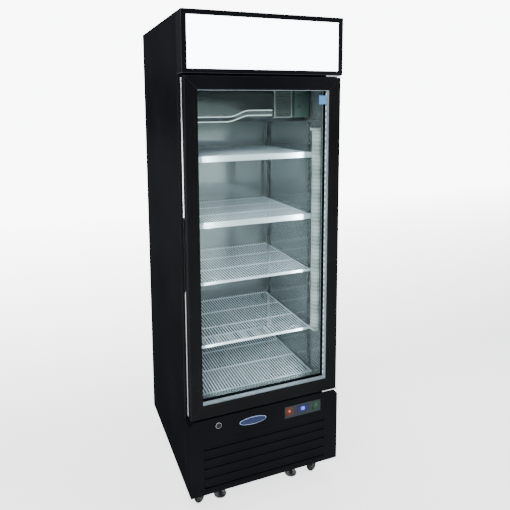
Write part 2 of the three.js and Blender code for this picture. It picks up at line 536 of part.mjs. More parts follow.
const WHEEL_Z = WHEEL_RADIUS + GAP;
const LEG_X = [WHEEL_WIDTH / 2 + 2, WHEEL_WIDTH / 2 + 4.5];
const AXLE_RADIUS = 3;
function forkGeometry() {
  const legOutline = [[-CASTER_TRAIL - 8, WHEEL_Z - 8], [-CASTER_TRAIL + 8, WHEEL_Z - 8], [16, 58],
    [16, 66], [-20, 66], [-CASTER_TRAIL - 8, WHEEL_Z + 6]];
  const legs = [prism(legOutline, 'X', ...LEG_X), prism(legOutline, 'X', -LEG_X[1], -LEG_X[0])];
  const crown = cylinder(21, 'Z', [0, 0], 57, CHANNEL_BOTTOM_Z - GAP);
  const axle = cylinder(AXLE_RADIUS, 'X', [-CASTER_TRAIL, WHEEL_Z], -LEG_X[1] - 1, LEG_X[1] + 1, 12);
  return join(crown, ...legs, axle);
}
function wheelGeometry() {
  const halfWidth = WHEEL_WIDTH / 2;
  const profile = [[AXLE_RADIUS + 0.5, -halfWidth], [WHEEL_RADIUS - 3, -halfWidth],
    [WHEEL_RADIUS, -halfWidth + 3], [WHEEL_RADIUS, halfWidth - 3], [WHEEL_RADIUS - 3, halfWidth],
    [AXLE_RADIUS + 0.5, halfWidth], [AXLE_RADIUS + 0.5, -halfWidth]];
  const points = profile.map(([radius, height]) => new THREE.Vector2(radius, height));
  return new THREE.LatheGeometry(points, 32).rotateZ(-Math.PI / 2);
}
['front', 'rear'].forEach((row, i) => {
  ['left', 'right'].forEach((side, j) => {
    const caster = new THREE.Group();
    caster.position.set(j === 0 ? -CASTER_SWIVEL_X : CASTER_SWIVEL_X, CASTER_SWIVEL_Y[i], 0);
    caster.rotation.z = radians(CASTER_YAW[i][j]);
    assembly.add(caster);
    add(`${row}_${side}_caster_fork`, forkGeometry(), GALVANISED, caster);
    const wheel = add(`${row}_${side}_caster_wheel`, wheelGeometry(), RUBBER, caster);
    wheel.position.set(0, -CASTER_TRAIL, WHEEL_Z);
  });
});

// ---- cord gland at the back -----------------------------------------------------------------------
const glandFront = SHELL_BACK_Y + GAP;
add('cord_gland', cylinder(14, 'Y', [240, 160], glandFront, SHELL_BACK_Y - SHEET + GLAND_DEPTH, 24),
  BLACK_PLASTIC);

export default assembly;
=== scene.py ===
import json
import math

import bmesh
import bpy
from mathutils import Euler, Matrix, Vector


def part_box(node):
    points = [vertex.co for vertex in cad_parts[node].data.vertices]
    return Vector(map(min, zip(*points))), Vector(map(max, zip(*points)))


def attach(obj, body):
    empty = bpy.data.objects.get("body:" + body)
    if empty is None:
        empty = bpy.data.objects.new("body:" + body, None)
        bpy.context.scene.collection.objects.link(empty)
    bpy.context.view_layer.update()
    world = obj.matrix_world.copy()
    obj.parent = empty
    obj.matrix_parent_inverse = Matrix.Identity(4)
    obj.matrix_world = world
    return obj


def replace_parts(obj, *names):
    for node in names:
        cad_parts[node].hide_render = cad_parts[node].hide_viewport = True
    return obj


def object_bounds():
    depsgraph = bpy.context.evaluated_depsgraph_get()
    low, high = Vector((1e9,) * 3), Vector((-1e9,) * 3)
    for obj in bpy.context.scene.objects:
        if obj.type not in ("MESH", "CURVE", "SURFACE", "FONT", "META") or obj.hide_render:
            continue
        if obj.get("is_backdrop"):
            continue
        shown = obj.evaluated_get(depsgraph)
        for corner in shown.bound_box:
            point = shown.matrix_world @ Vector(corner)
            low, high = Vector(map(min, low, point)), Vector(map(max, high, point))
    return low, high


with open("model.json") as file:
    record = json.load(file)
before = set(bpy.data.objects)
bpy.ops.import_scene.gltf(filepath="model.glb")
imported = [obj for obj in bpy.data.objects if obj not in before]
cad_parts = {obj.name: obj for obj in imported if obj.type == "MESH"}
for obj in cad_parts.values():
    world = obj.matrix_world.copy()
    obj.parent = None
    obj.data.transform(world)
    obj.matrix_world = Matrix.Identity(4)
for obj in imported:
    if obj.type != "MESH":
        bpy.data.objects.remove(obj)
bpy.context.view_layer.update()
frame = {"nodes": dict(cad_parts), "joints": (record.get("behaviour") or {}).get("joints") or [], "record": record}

# A one-door refrigerated display cabinet. Everything is in metres in the frame's own axes: the door faces
# -Y, +X is the hinge side and +Z is up. Depths are given from the front plane of the door, as Y(depth).
MM = 0.001
NODES = frame["nodes"]
SLOTS = {part["node"]: part["material_slot"] for part in frame["record"]["subparts"]}
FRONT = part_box("header_frame")[0].y


def X(mm):
    return mm * MM


def Y(mm):
    return FRONT + mm * MM


def in_mm(*points):
    """Pairs of millimetres as pairs of metres."""
    return [(X(a), X(b)) for a, b in points]


# ---- mesh helpers ----

def link(item):
    bpy.context.scene.collection.objects.link(item)


def finish_mesh(name, bm, slot, material=None, smooth_angle=35, body="cabinet"):
    """Turns a bmesh into a piece that rides on a body, with its slot's usual look unless one is given."""
    bmesh.ops.recalc_face_normals(bm, faces=bm.faces)
    mesh = bpy.data.meshes.new(name)
    bm.to_mesh(mesh)
    bm.free()
    mesh.shade_smooth()
    mesh.set_sharp_from_angle(angle=math.radians(smooth_angle))
    piece = bpy.data.objects.new(name, mesh)
    link(piece)
    mesh.materials.append(material or LOOKS[slot])
    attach(piece, body)
    return piece


def add_box(bm, low, high, bevel=0.0, segments=2):
    low, high = Vector(low), Vector(high)
    size = high - low
    place = Matrix.Translation((low + high) / 2) @ Matrix.Diagonal((*size, 1))
    made = bmesh.ops.create_cube(bm, size=1, matrix=place)
    if bevel:
        edges = {edge for vert in made["verts"] for edge in vert.link_edges}
        bmesh.ops.bevel(bm, geom=list(edges), offset=bevel, segments=segments, affect="EDGES", profile=0.5)


def add_tube(bm, points, radius, sides=8, closed=False):
    """A round bar along a line of points, with flat ends unless it closes on itself."""
    points = [Vector(point) for point in points]
    count = len(points)
    rings = []
    normal = None
    for index, point in enumerate(points):
        before = points[index - 1] if index or closed else point
        after = points[(index + 1) % count] if index < count - 1 or closed else point
        along = (after - before).normalized()
        if normal is None:
            normal = along.orthogonal().normalized()
        normal = (normal - along * normal.dot(along)).normalized()
        side = along.cross(normal)
        ring = []
        for step in range(sides):
            angle = 2 * math.pi * step / sides
            offset = normal * math.cos(angle) + side * math.sin(angle)
            ring.append(bm.verts.new(point + offset * radius))
        rings.append(ring)
    pairs = list(zip(rings, rings[1:]))
    if closed:
        pairs.append((rings[-1], rings[0]))
    for first, second in pairs:
        for step in range(sides):
            after = (step + 1) % sides
            bm.faces.new((first[step], first[after], second[after], second[step]))
    if not closed:
        bm.faces.new(rings[0])
        bm.faces.new(rings[-1])


def add_turned(bm, profile, place, sides=48):
    """Turns [radius, height] points about local Z. A profile with both ends off the axis is closed up."""
    rings = []
    for radius, height in profile:
        if radius < 1e-6:
            rings.append([bm.verts.new(place @ Vector((0, 0, height)))])
            continue
        ring = []
        for step in range(sides):
            angle = 2 * math.pi * step / sides
            point = Vector((radius * math.cos(angle), radius * math.sin(angle), height))
            ring.append(bm.verts.new(place @ point))
        rings.append(ring)
    pairs = list(zip(rings, rings[1:]))
    if len(rings[0]) > 1 and len(rings[-1]) > 1:
        pairs.append((rings[-1], rings[0]))
    for first, second in pairs:
        for step in range(sides):
            after = (step + 1) % sides
            corners = [first[step % len(first)], first[after % len(first)],
                       second[after % len(second)], second[step % len(second)]]
            unique = list(dict.fromkeys(corners))
            if len(unique) > 2:
                bm.faces.new(unique)


def add_prism(bm, outline, place, depth):
    """A closed outline in local XY, pushed along local Z."""
    low = [bm.verts.new(place @ Vector((a, b, 0))) for a, b in outline]
    high = [bm.verts.new(place @ Vector((a, b, depth))) for a, b in outline]
    bm.faces.new(list(reversed(low)))
    bm.faces.new(high)
    count = len(outline)
    for index in range(count):
        after = (index + 1) % count
        bm.faces.new((low[index], low[after], high[after], high[index]))


def add_frame(bm, section, corners, outward):
    """Sweeps a closed [out, depth] section round a rectangle of corners in XZ, with mitred corners."""
    rings = []
    for (x, z), (dx, dz) in zip(corners, outward):
        rings.append([bm.verts.new((x + out * dx, depth, z + out * dz)) for out, depth in section])
    count = len(section)
    for index, ring in enumerate(rings):
        after = rings[(index + 1) % len(rings)]
        for step in range(count):
            nxt = (step + 1) % count
            bm.faces.new((ring[step], ring[nxt], after[nxt], after[step]))


def looking(direction, at):
    """A placement whose local Z points along direction."""
    turn = Vector((0, 0, 1)).rotation_difference(Vector(direction)).to_matrix().to_4x4()
    return Matrix.Translation(Vector(at)) @ turn


def placed(x, y, z, at=(0, 0, 0)):
    """A placement from the directions that local X, Y and Z take."""
    return Matrix.Translation(at) @ Matrix((x, y, z)).transposed().to_4x4()


EAST, NORTH, UP = (1, 0, 0), (0, 1, 0), (0, 0, 1)
SOUTH, DOWN = (0, -1, 0), (0, 0, -1)


def along_x(x):
    """For a side profile given as [depth, height], pushed along +X from x."""
    return placed(NORTH, UP, EAST, (x, 0, 0))


def facing_front(x, y, z):
    """For a front outline given as [across, height], or a turned shape whose height points to the front."""
    return placed(EAST, UP, SOUTH, (x, y, z))


def arc(centre, radius, start, end, steps):
    """Points of an arc in a plane, with angles in degrees."""
    points = []
    for index in range(steps + 1):
        angle = math.radians(start + (end - start) * index / steps)
        points.append((centre[0] + radius * math.cos(angle), centre[1] + radius * math.sin(angle)))
    return points


def rounded(x0, x1, y0, y1, radius, steps=5):
    """A rectangle outline with round corners."""
    return (arc((x1 - radius, y1 - radius), radius, 0, 90, steps)
            + arc((x0 + radius, y1 - radius), radius, 90, 180, steps)
            + arc((x0 + radius, y0 + radius), radius, 180, 270, steps)
            + arc((x1 - radius, y0 + radius), radius, 270, 360, steps))


def add_screw(bm, at, direction, radius=X(4)):
    """A pan-head screw with a cross recess, its head standing out along direction."""
    place = looking(direction, at)
    head = [(0, 0), (1, 0), (1, 0.25), (0.8, 0.5), (0.55, 0.62), (0.5, 0.42), (0, 0.42)]
    add_turned(bm, [(radius * r, radius * h) for r, h in head], place, 20)
    for angle in (0, math.pi / 2):
        turn = place @ Matrix.Rotation(angle, 4, "Z")
        for side in (-1, 1):
            x0, x1 = sorted((side * radius * 0.12, side * radius * 0.5))
            outline = [(x0, radius * 0.13), (x1, radius * 0.13), (x1, radius * 0.45), (x0, radius * 0.45)]
            add_prism(bm, outline, turn @ Matrix.Translation((0, 0, radius * 0.42)), radius * 0.17)


# ---- materials ----

def new_material(name):
    material = bpy.data.materials.new(name)
    material.use_nodes = True
    tree = material.node_tree
    tree.nodes.clear()
    output = tree.nodes.new("ShaderNodeOutputMaterial")
    return material, tree, output


def add_node(tree, kind, inputs=None, **settings):
    node = tree.nodes.new(kind)
    for key, value in settings.items():
        setattr(node, key, value)
    for key, value in (inputs or {}).items():
        if isinstance(value, bpy.types.NodeSocket):
            tree.links.new(value, node.inputs[key])
        else:
            node.inputs[key].default_value = value
    return node


def shade(color, factor):
    return tuple(min(1.0, channel * factor) for channel in color[:3]) + (1.0,)


def object_coordinates(tree, scale=(1, 1, 1)):
    coordinates = add_node(tree, "ShaderNodeTexCoord")
    mapping = add_node(tree, "ShaderNodeMapping", {"Vector": coordinates.outputs["Object"], "Scale": scale})
    return mapping.outputs["Vector"]


def noise(tree, vector, scale, detail=4.0):
    node = add_node(tree, "ShaderNodeTexNoise",
                    {"Vector": vector, "Scale": scale, "Detail": detail, "Roughness": 0.55})
    return node.outputs["Fac"]


def spread(tree, value, low, high, start=0.3, end=0.7):
    """Maps a value between start and end to the range from low to high."""
    node = add_node(tree, "ShaderNodeMapRange",
                    {"Value": value, "From Min": start, "From Max": end, "To Min": low, "To Max": high})
    return node.outputs["Result"]


def tinted(tree, factor, first, second):
    node = add_node(tree, "ShaderNodeMix", data_type="RGBA")
    node.inputs[6].default_value = first
    node.inputs[7].default_value = second
    tree.links.new(factor, node.inputs[0])
    return node.outputs[2]


def solid(name, color, rough=(0.35, 0.5), metallic=0.0, specular=0.5, variation=0.15, patches=6.0,
          grain=700.0, grain_depth=0.02, stretch=(1, 1, 1), emission=None):
    """A surface with cloudy colour and roughness, and a fine grain bump."""
    material, tree, output = new_material(name)
    shader = add_node(tree, "ShaderNodeBsdfPrincipled")
    tree.links.new(shader.outputs["BSDF"], output.inputs["Surface"])
    plain = object_coordinates(tree)
    grained = object_coordinates(tree, stretch)
    clouds = noise(tree, plain, patches)
    fine = noise(tree, grained, grain, detail=2.0)
    base = tinted(tree, spread(tree, clouds, 0, 1), shade(color, 1 - variation), shade(color, 1 + variation))
    tree.links.new(base, shader.inputs["Base Color"])
    mottled = noise(tree, grained, patches * 4)
    tree.links.new(spread(tree, mottled, *rough), shader.inputs["Roughness"])
    bump = add_node(tree, "ShaderNodeBump", {"Height": fine, "Strength": 0.6, "Distance": grain_depth * MM})
    tree.links.new(bump.outputs["Normal"], shader.inputs["Normal"])
    shader.inputs["Metallic"].default_value = metallic
    shader.inputs["Specular IOR Level"].default_value = specular
    if emission:
        shader.inputs["Emission Color"].default_value = shade(emission[0], 1)
        shader.inputs["Emission Strength"].default_value = emission[1]
    return material


def enamel(name, color, gloss=0.0015, rough=(0.25, 0.4), grain=260.0, grain_depth=0.03, rub=0.0):
    """Sprayed paint: mostly matt with a low sheen and a fine orange peel, rubbed through in scratches."""
    material, tree, output = new_material(name)
    plain = object_coordinates(tree)
    clouds = noise(tree, plain, 3.0)
    peel = noise(tree, plain, grain, detail=2.0)
    scratches = noise(tree, plain, 55.0, detail=6.0)
    paint = tinted(tree, spread(tree, clouds, 0, 1), shade(color, 0.85), shade(color, 1.15))
    worn = spread(tree, scratches, 0, rub, 0.45, 0.65)
    base = add_node(tree, "ShaderNodeMix", {0: worn, 6: paint, 7: shade(color, 3)}, data_type="RGBA")
    bump = add_node(tree, "ShaderNodeBump", {"Height": peel, "Strength": 0.6, "Distance": grain_depth * MM})
    matt = add_node(tree, "ShaderNodeBsdfPrincipled",
                    {"Base Color": base.outputs[2], "Roughness": 0.6, "Specular IOR Level": 0.0,
                     "Normal": bump.outputs["Normal"]})
    sheen = add_node(tree, "ShaderNodeBsdfGlossy",
                     {"Roughness": spread(tree, clouds, *rough), "Normal": bump.outputs["Normal"]})
    mixed = add_node(tree, "ShaderNodeMixShader", {0: spread(tree, clouds, gloss * 0.8, gloss * 1.2),
                                                   1: matt.outputs[0], 2: sheen.outputs[0]})
    tree.links.new(mixed.outputs[0], output.inputs["Surface"])
    return material


def clear_glass(name, tint, reflect=1.0):
    """A coated pane: it lets light straight through, and mirrors it only at a low angle."""
    material, tree, output = new_material(name)
    smears = noise(tree, object_coordinates(tree), 7.0, detail=5.0)
    through = add_node(tree, "ShaderNodeBsdfTransparent", {"Color": tint})
    mirror = add_node(tree, "ShaderNodeBsdfGlossy", {"Roughness": spread(tree, smears, 0.01, 0.05)})
    slant = add_node(tree, "ShaderNodeLayerWeight", {"Blend": 0.5}).outputs["Facing"]
    steep = add_node(tree, "ShaderNodeMath", {0: slant, 1: 4.0}, operation="POWER").outputs[0]
    amount = spread(tree, steep, 0, reflect, 0.04, 1.0)
    mixed = add_node(tree, "ShaderNodeMixShader", {0: amount, 1: through.outputs[0],
                                                   2: mirror.outputs[0]})
    tree.links.new(mixed.outputs[0], output.inputs["Surface"])
    return material


def glowing(name, color, centre, reach, strength):
    """A lens lit from behind: brightest at centre and darker towards its rim."""
    material, tree, output = new_material(name)
    coordinates = add_node(tree, "ShaderNodeTexCoord").outputs["Object"]
    offset = add_node(tree, "ShaderNodeVectorMath", {0: coordinates, 1: centre}, operation="DISTANCE")
    near = spread(tree, offset.outputs["Value"], 1.0, 0.0, 0.0, reach)
    soft = add_node(tree, "ShaderNodeMath", {0: near, 1: 2.0}, operation="POWER").outputs[0]
    grain = noise(tree, coordinates, 400.0)
    uneven = spread(tree, grain, 0.8 * strength, 1.2 * strength)
    light = add_node(tree, "ShaderNodeMath", {0: soft, 1: uneven}, operation="MULTIPLY").outputs[0]
    shader = add_node(tree, "ShaderNodeBsdfPrincipled",
                      {"Emission Strength": light, "Specular IOR Level": 0.15})
    tree.links.new(tinted(tree, grain, shade(color, 0.05), shade(color, 0.09)), shader.inputs["Base Color"])
    tree.links.new(tinted(tree, soft, shade(color, 1.0), shade([c * 0.6 + 0.4 for c in color], 1.0)),
                   shader.inputs["Emission Color"])
    tree.links.new(spread(tree, grain, 0.16, 0.28), shader.inputs["Roughness"])
    tree.links.new(shader.outputs[0], output.inputs["Surface"])
    return material


BLACK = (0.0036, 0.0042, 0.0050)
LOOKS = {
    "black_steel": enamel("black_enamel", BLACK),
    "door_black": enamel("door_black", (0.0026, 0.0030, 0.0037), 0.004, (0.2, 0.32), grain=420.0,
                         grain_depth=0.02),
    "black_plastic": solid("black_plastic", (0.0050, 0.0050, 0.0055), (0.4, 0.55), specular=0.14,
                           grain=900.0, grain_depth=0.05),
    "liner_metal": solid("liner_steel", (0.30, 0.325, 0.335), (0.06, 0.14), metallic=0.70, variation=0.10,
                         patches=2.2, grain=90.0, grain_depth=0.006, stretch=(1, 1, 14)),
    "foam": solid("foam", (0.78, 0.70, 0.42), (0.85, 0.95), grain=300.0, grain_depth=0.4),
    "galvanised": solid("galvanised", (0.30, 0.315, 0.32), (0.3, 0.5), metallic=0.9, variation=0.25,
                        patches=45.0, grain=200.0, grain_depth=0.02),
    "aluminium_bare": solid("brushed_aluminium", (0.62, 0.64, 0.66), (0.2, 0.34), metallic=1.0,
                            variation=0.08, patches=8.0, grain=60.0, grain_depth=0.01, stretch=(20, 20, 1)),
    "chrome_plate": solid("chrome", (0.46, 0.47, 0.49), (0.10, 0.22), metallic=1.0, variation=0.06,
                          patches=40.0, grain=500.0, grain_depth=0.006),
    "rubber_black": solid("rubber", (0.0035, 0.0035, 0.0037), (0.4, 0.6), specular=0.10, grain=1200.0,
                          grain_depth=0.06),
    "white_coating": solid("white_plastic", (0.54, 0.59, 0.64), (0.3, 0.42), variation=0.05, grain=500.0),
    "coated_wire": solid("coated_wire", (0.44, 0.49, 0.54), (0.34, 0.5), variation=0.06, patches=30.0,
                         grain=350.0, grain_depth=0.05),
    "plate_teal": solid("switch_plate", (0.008, 0.014, 0.017), (0.25, 0.4), specular=0.12, variation=0.35,
                        patches=25.0, grain=500.0),
    "compressor_black": solid("compressor_enamel", (0.012, 0.012, 0.013), (0.3, 0.5), specular=0.4,
                              grain=150.0, grain_depth=0.1),
}


def ribbed_diffuser():
    """A milky lamp cover with fine moulded ribs across it, lit from behind by a row of lamps."""
    material, tree, output = new_material("lamp_diffuser")
    place = object_coordinates(tree)
    ribs = add_node(tree, "ShaderNodeTexWave", {"Vector": place, "Scale": 18.0, "Distortion": 0.6},
                    wave_type="BANDS", bands_direction="Z").outputs["Fac"]
    lamps = add_node(tree, "ShaderNodeTexWave", {"Vector": place, "Scale": 3.1, "Distortion": 1.5},
                     wave_type="BANDS", bands_direction="Z").outputs["Fac"]
    clouds = noise(tree, place, 12.0)
    bump = add_node(tree, "ShaderNodeBump", {"Height": ribs, "Strength": 0.7, "Distance": 0.5 * MM})
    shader = add_node(tree, "ShaderNodeBsdfPrincipled",
                      {"Roughness": spread(tree, clouds, 0.3, 0.45), "Normal": bump.outputs["Normal"],
                       "Emission Color": (0.86, 0.94, 1.0, 1),
                       "Emission Strength": spread(tree, lamps, 0.04, 0.2, 0.2, 0.9)})
    plastic = tinted(tree, ribs, (0.19, 0.215, 0.21, 1), (0.31, 0.34, 0.335, 1))
    tree.links.new(plastic, shader.inputs["Base Color"])
    tree.links.new(shader.outputs[0], output.inputs["Surface"])
    return material


DIFFUSER = ribbed_diffuser()
SIGN = solid("sign_acrylic", (0.86, 0.89, 0.91), (0.12, 0.2), variation=0.02, patches=1.6, grain=300.0,
             grain_depth=0.01, emission=((0.86, 0.94, 1.0), 9.0))
COPPER = solid("copper_pipe", (0.62, 0.30, 0.17), (0.2, 0.4), metallic=1.0, variation=0.2, patches=30.0)
LAMP_GLOW = solid("lamp_tube", (0.9, 0.9, 0.9), (0.3, 0.4), emission=((0.93, 0.97, 1.0), 3.0))
STICKER = solid("plain_sticker", (0.05, 0.20, 0.42), (0.3, 0.4), variation=0.2, patches=120.0, grain=900.0)
BADGE_RIM = solid("badge_rim", (0.26, 0.38, 0.62), (0.3, 0.45), variation=0.15, patches=60.0)
BADGE_BLUE = solid("badge_face", (0.003, 0.011, 0.050), (0.2, 0.3), specular=0.15, variation=0.12,
                   patches=20.0)
# The pane spacer's faint bluish glow is painted light on its reveal; the spacer is no lamp.
SPACER_WITH_PAINTED_GLOW = solid("pane_spacer_painted_glow", (0.30, 0.34, 0.38), (0.3, 0.45), metallic=0.5, variation=0.15, patches=40.0,
               grain=300.0, stretch=(1, 1, 6), emission=((0.72, 0.84, 1.0), 0.16))
# Painted reflection: the glow on the two lines across the evaporator cover's bend.
REFLECTION_LINE_GLOW = solid("painted_reflection_line", (0.75, 0.77, 0.78), (0.15, 0.25), metallic=0.8, variation=0.08, patches=30.0,
                  emission=((0.9, 0.95, 1.0), 0.35))
# A faint glow on the door opening's edge strips: a painted reflection.
STRIP_METAL_GLOW = solid("edge_strip", (0.36, 0.40, 0.44), (0.2, 0.3), metallic=0.6, variation=0.25, patches=30.0,
                    grain=60.0, stretch=(1, 1, 4), emission=((0.75, 0.86, 1.0), 0.10))
# Painted glint: the glow of the dashes along the pane spacer.
LAMP_GLINT_GLOW = solid("pane_lamp_glint", (0.7, 0.74, 0.8), emission=((0.85, 0.92, 1.0), 0.9))
FILTER = solid("air_filter", (0.006, 0.006, 0.006), (0.8, 0.95), specular=0.1, patches=90.0, grain=260.0,
               grain_depth=0.6)
OUTER_PANE = clear_glass("outer_pane_glass", (0.94, 0.97, 0.965, 1))
INNER_PANE = clear_glass("inner_pane_glass", (0.95, 0.975, 0.97, 1), 0.6)
FOOT_STEEL = solid("foot_steel", (0.13, 0.135, 0.14), (0.08, 0.18), metallic=1.0, variation=0.3, patches=50.0)
LOCK_STEEL = solid("lock_steel", (0.40, 0.41, 0.42), (0.10, 0.2), metallic=1.0, variation=0.1, patches=60.0)
DARK_ZINC = solid("dark_zinc", (0.006, 0.006, 0.0065), (0.16, 0.3), metallic=0.2, specular=0.12,
                  variation=0.25, patches=45.0, grain=200.0)

# The black paint on its bevelled edges: lighter all along each edge as a painted highlight, with scratch wear
# rubbed through.
EDGE_HIGHLIGHT_AND_WEAR = {
    "black_steel": enamel("black_enamel_edge_highlight_and_wear", shade(BLACK, 3.2), 0.010, rub=0.4),
    "door_black": enamel("door_black_edge_highlight_and_wear", shade(BLACK, 2.6), 0.010, rub=0.3),
}


def glow_of(node, color, strength, reach):
    """The lit look of a lens, brightest at the middle of its front face."""
    low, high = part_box(node)
    centre = (low + high) / 2
    centre.y = low.y
    return glowing(f"{node}_glow", color, centre, reach, strength)


COVER_STEEL = solid("cover_steel", (0.075, 0.082, 0.085), (0.06, 0.14), metallic=0.85, variation=0.12,
                    patches=2.5, grain=90.0, grain_depth=0.006, stretch=(1, 1, 14))
CHANNEL_STEEL = solid("channel_steel", (0.06, 0.063, 0.066), (0.4, 0.6), metallic=0.7, variation=0.3,
                      patches=30.0, grain=200.0)
NODE_LOOKS = {
    "evaporator_cover": COVER_STEEL,
    "interior_lamp": DIFFUSER,
    "sign_panel": SIGN,
    "glass_spacer": SPACER_WITH_PAINTED_GLOW,
    "outer_glass": OUTER_PANE,
    "inner_glass": INNER_PANE,
    **{node: DARK_ZINC for node in NODES if node.endswith("_caster_fork")},
    "front_base_channel": CHANNEL_STEEL,
    "rear_base_channel": CHANNEL_STEEL,
    "foam_insulation": LOOKS["foam"],
    "rocker_red": glow_of("rocker_red", (0.80, 0.12, 0.03), 5.0, X(9)),
    "rocker_green": glow_of("rocker_green", (0.01, 0.32, 0.11), 0.35, X(14)),
    "temperature_display": glow_of("temperature_display", (0.01, 0.03, 0.75), 0.8, X(20)),
}


# ---- CAD nodes that stay ----

def dress(node, bevel):
    """Gives a CAD node its finish and softens its edges without moving any face."""
    piece = NODES[node]
    piece.data.materials.clear()
    piece.data.materials.append(NODE_LOOKS.get(node) or LOOKS[SLOTS[node]])
    with bpy.context.temp_override(object=piece, active_object=piece):
        bpy.ops.mesh.customdata_custom_splitnormals_clear()
    piece.data.shade_smooth()
    weld = piece.modifiers.new("weld", "WELD")
    weld.merge_threshold = 1e-5
    edge = piece.modifiers.new("soft_edges", "BEVEL")
    edge.width = bevel * MM
    edge.segments = 3
    edge.limit_method = "ANGLE"
    edge.angle_limit = math.radians(35)
    edge.harden_normals = True
    edge.use_clamp_overlap = True
    # Bevelled edges take the lighter edge paint: a painted highlight along every edge, plus scratch wear.
    if SLOTS[node] in EDGE_HIGHLIGHT_AND_WEAR and node != "base_cover":
        piece.data.materials.append(EDGE_HIGHLIGHT_AND_WEAR[SLOTS[node]])
        edge.material = 1


BEVELS_MM = {0.3: ["liner_left", "liner_right", "liner_back", "liner_floor", "liner_top"],
             0.4: ["back_panel", "top_panel", "glass_spacer"],
             0.5: ["left_side_panel", "right_side_panel", "evaporator_cover", "door_pull_stile",
                   "door_hinge_stile", "door_top_rail", "door_bottom_rail"],
             0.6: ["base_pan", "outer_glass", "inner_glass"],
             0.7: ["switch_plate"],
             0.8: ["face_frame", "sign_panel", "front_base_channel", "rear_base_channel"],
             2.0: ["header_frame", "interior_lamp"]}
BEVEL_MM = {node: bevel for bevel, nodes in BEVELS_MM.items() for node in nodes}
CORNERS = ["front_left", "front_right", "rear_left", "rear_right"]
SHELVES = (1, 2, 3, 4)
REPLACED = {"floor_rack", "left_foot", "right_foot", "door_gasket", "compressor", "condenser_coil",
            "evaporator_coil", "lock_plug", "condenser_fan", "evaporator_fan"}
REPLACED |= {f"shelf_{number}" for number in SHELVES}
REPLACED |= {f"{corner}_{part}" for corner in CORNERS for part in ("pilaster", "caster_wheel")}
for name in NODES:
    if name not in REPLACED:
        dress(name, BEVEL_MM.get(name, 1.0))


# ---- shelves ----

WIRE = X(2.1)  # radius
RAIL = X(2.6)  # radius
WIRE_PITCH = X(13)
LIP = X(2)  # how far a shelf's front edge stands above its wires


def wire_rack(name, node, body, top, drop):
    """Wires from front to back on cross bars, bent down over the front rail by drop."""
    low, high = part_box(node)
    bm = bmesh.new()
    count = int((high.x - low.x - 4 * RAIL) / WIRE_PITCH)
    first = -(count - 1) * WIRE_PITCH / 2
    wire_z = top - WIRE
    front, back = low.y + WIRE + X(3), high.y - RAIL
    bend = X(3)
    for index in range(count):
        x = first + index * WIRE_PITCH
        curve = [(x, y, z) for y, z in arc((front + bend, wire_z - bend), bend, 180, 90, 4)]
        add_tube(bm, [(x, front, top - drop)] + curve + [(x, back, wire_z)], WIRE, 6)
    rail_z = top - 2 * WIRE - RAIL
    for y in (front + WIRE + RAIL, low.y + (high.y - low.y) * 0.36, low.y + (high.y - low.y) * 0.68, back):
        add_tube(bm, [(low.x + RAIL, y, rail_z), (high.x - RAIL, y, rail_z)], RAIL, 10)
    for x in (low.x + RAIL, high.x - RAIL):
        add_tube(bm, [(x, front, rail_z), (x, back, rail_z)], RAIL, 10)
    lower_z = top - drop + RAIL * 0.6
    add_tube(bm, [(low.x + RAIL, front + WIRE + RAIL * 0.6, lower_z),
                  (high.x - RAIL, front + WIRE + RAIL * 0.6, lower_z)], RAIL * 0.6, 8)
    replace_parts(finish_mesh(name, bm, "coated_wire", smooth_angle=50, body=body), node)


def price_strip(name, node):
    """A plastic ticket rail clipped to a shelf's front edge, with a lip along its top and bottom."""
    low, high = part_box(node)
    bm = bmesh.new()
    z0, z1 = low.z, high.z
    face, back = low.y + X(0.6), low.y + X(2.4)
    outline = [(back, z0), (low.y, z0), (low.y, z0 + X(2)), (face, z0 + X(2.4)), (face, z1 - X(2.4)),
               (low.y, z1 - X(2)), (low.y, z1), (back, z1)]
    add_prism(bm, outline, along_x(low.x), high.x - low.x)
    finish_mesh(name, bm, "white_coating", smooth_angle=25, body=node)


for number in SHELVES:
    node = f"shelf_{number}"
    low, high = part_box(node)
    surface = high.z - LIP
    wire_rack(f"{node}_wires", node, node, surface, min(X(9), surface - low.z))
    price_strip(f"{node}_price_strip" if number < 3 else f"{node}_front_band", node)
rack_low, rack_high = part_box("floor_rack")
wire_rack("floor_rack_wires", "floor_rack", "cabinet", rack_high.z, rack_high.z - rack_low.z)


# ---- pilasters and clips ----

SLOT_PITCH = X(25)
SLOT_HEIGHT = X(13)


def pilaster(node):
    """A bent strip with a ladder of slots; its two edges turn back to the wall."""
    low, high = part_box(node)
    inward = -1 if low.x > 0 else 1
    wall = high.x if low.x > 0 else low.x
    face = low.x if low.x > 0 else high.x
    columns = [low.y, low.y + X(7), high.y - X(7), high.y]
    bm = bmesh.new()
    levels = []
    z = low.z
    while z + SLOT_PITCH < high.z:
        levels += [z, z + SLOT_HEIGHT]
        z += SLOT_PITCH
    levels += [z, high.z]
    grid = [[bm.verts.new((face, y, level)) for y in columns] for level in levels]
    for row in range(len(levels) - 1):
        for column in range(3):
            is_slot = column == 1 and row % 2 == 0 and row < len(levels) - 3
            if not is_slot:
                bm.faces.new((grid[row][column], grid[row][column + 1],
                              grid[row + 1][column + 1], grid[row + 1][column]))
    for column in (0, 3):
        foot = [bm.verts.new((wall, columns[column], level)) for level in levels]
        for row in range(len(levels) - 1):
            bm.faces.new((grid[row][column], foot[row], foot[row + 1], grid[row + 1][column]))
    piece = finish_mesh(f"{node}_strip", bm, "galvanised", smooth_angle=30)
    thick = piece.modifiers.new("sheet", "SOLIDIFY")
    thick.thickness = X(1.1)
    thick.offset = -1
    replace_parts(piece, node)
    return columns[0], columns[3], face, inward


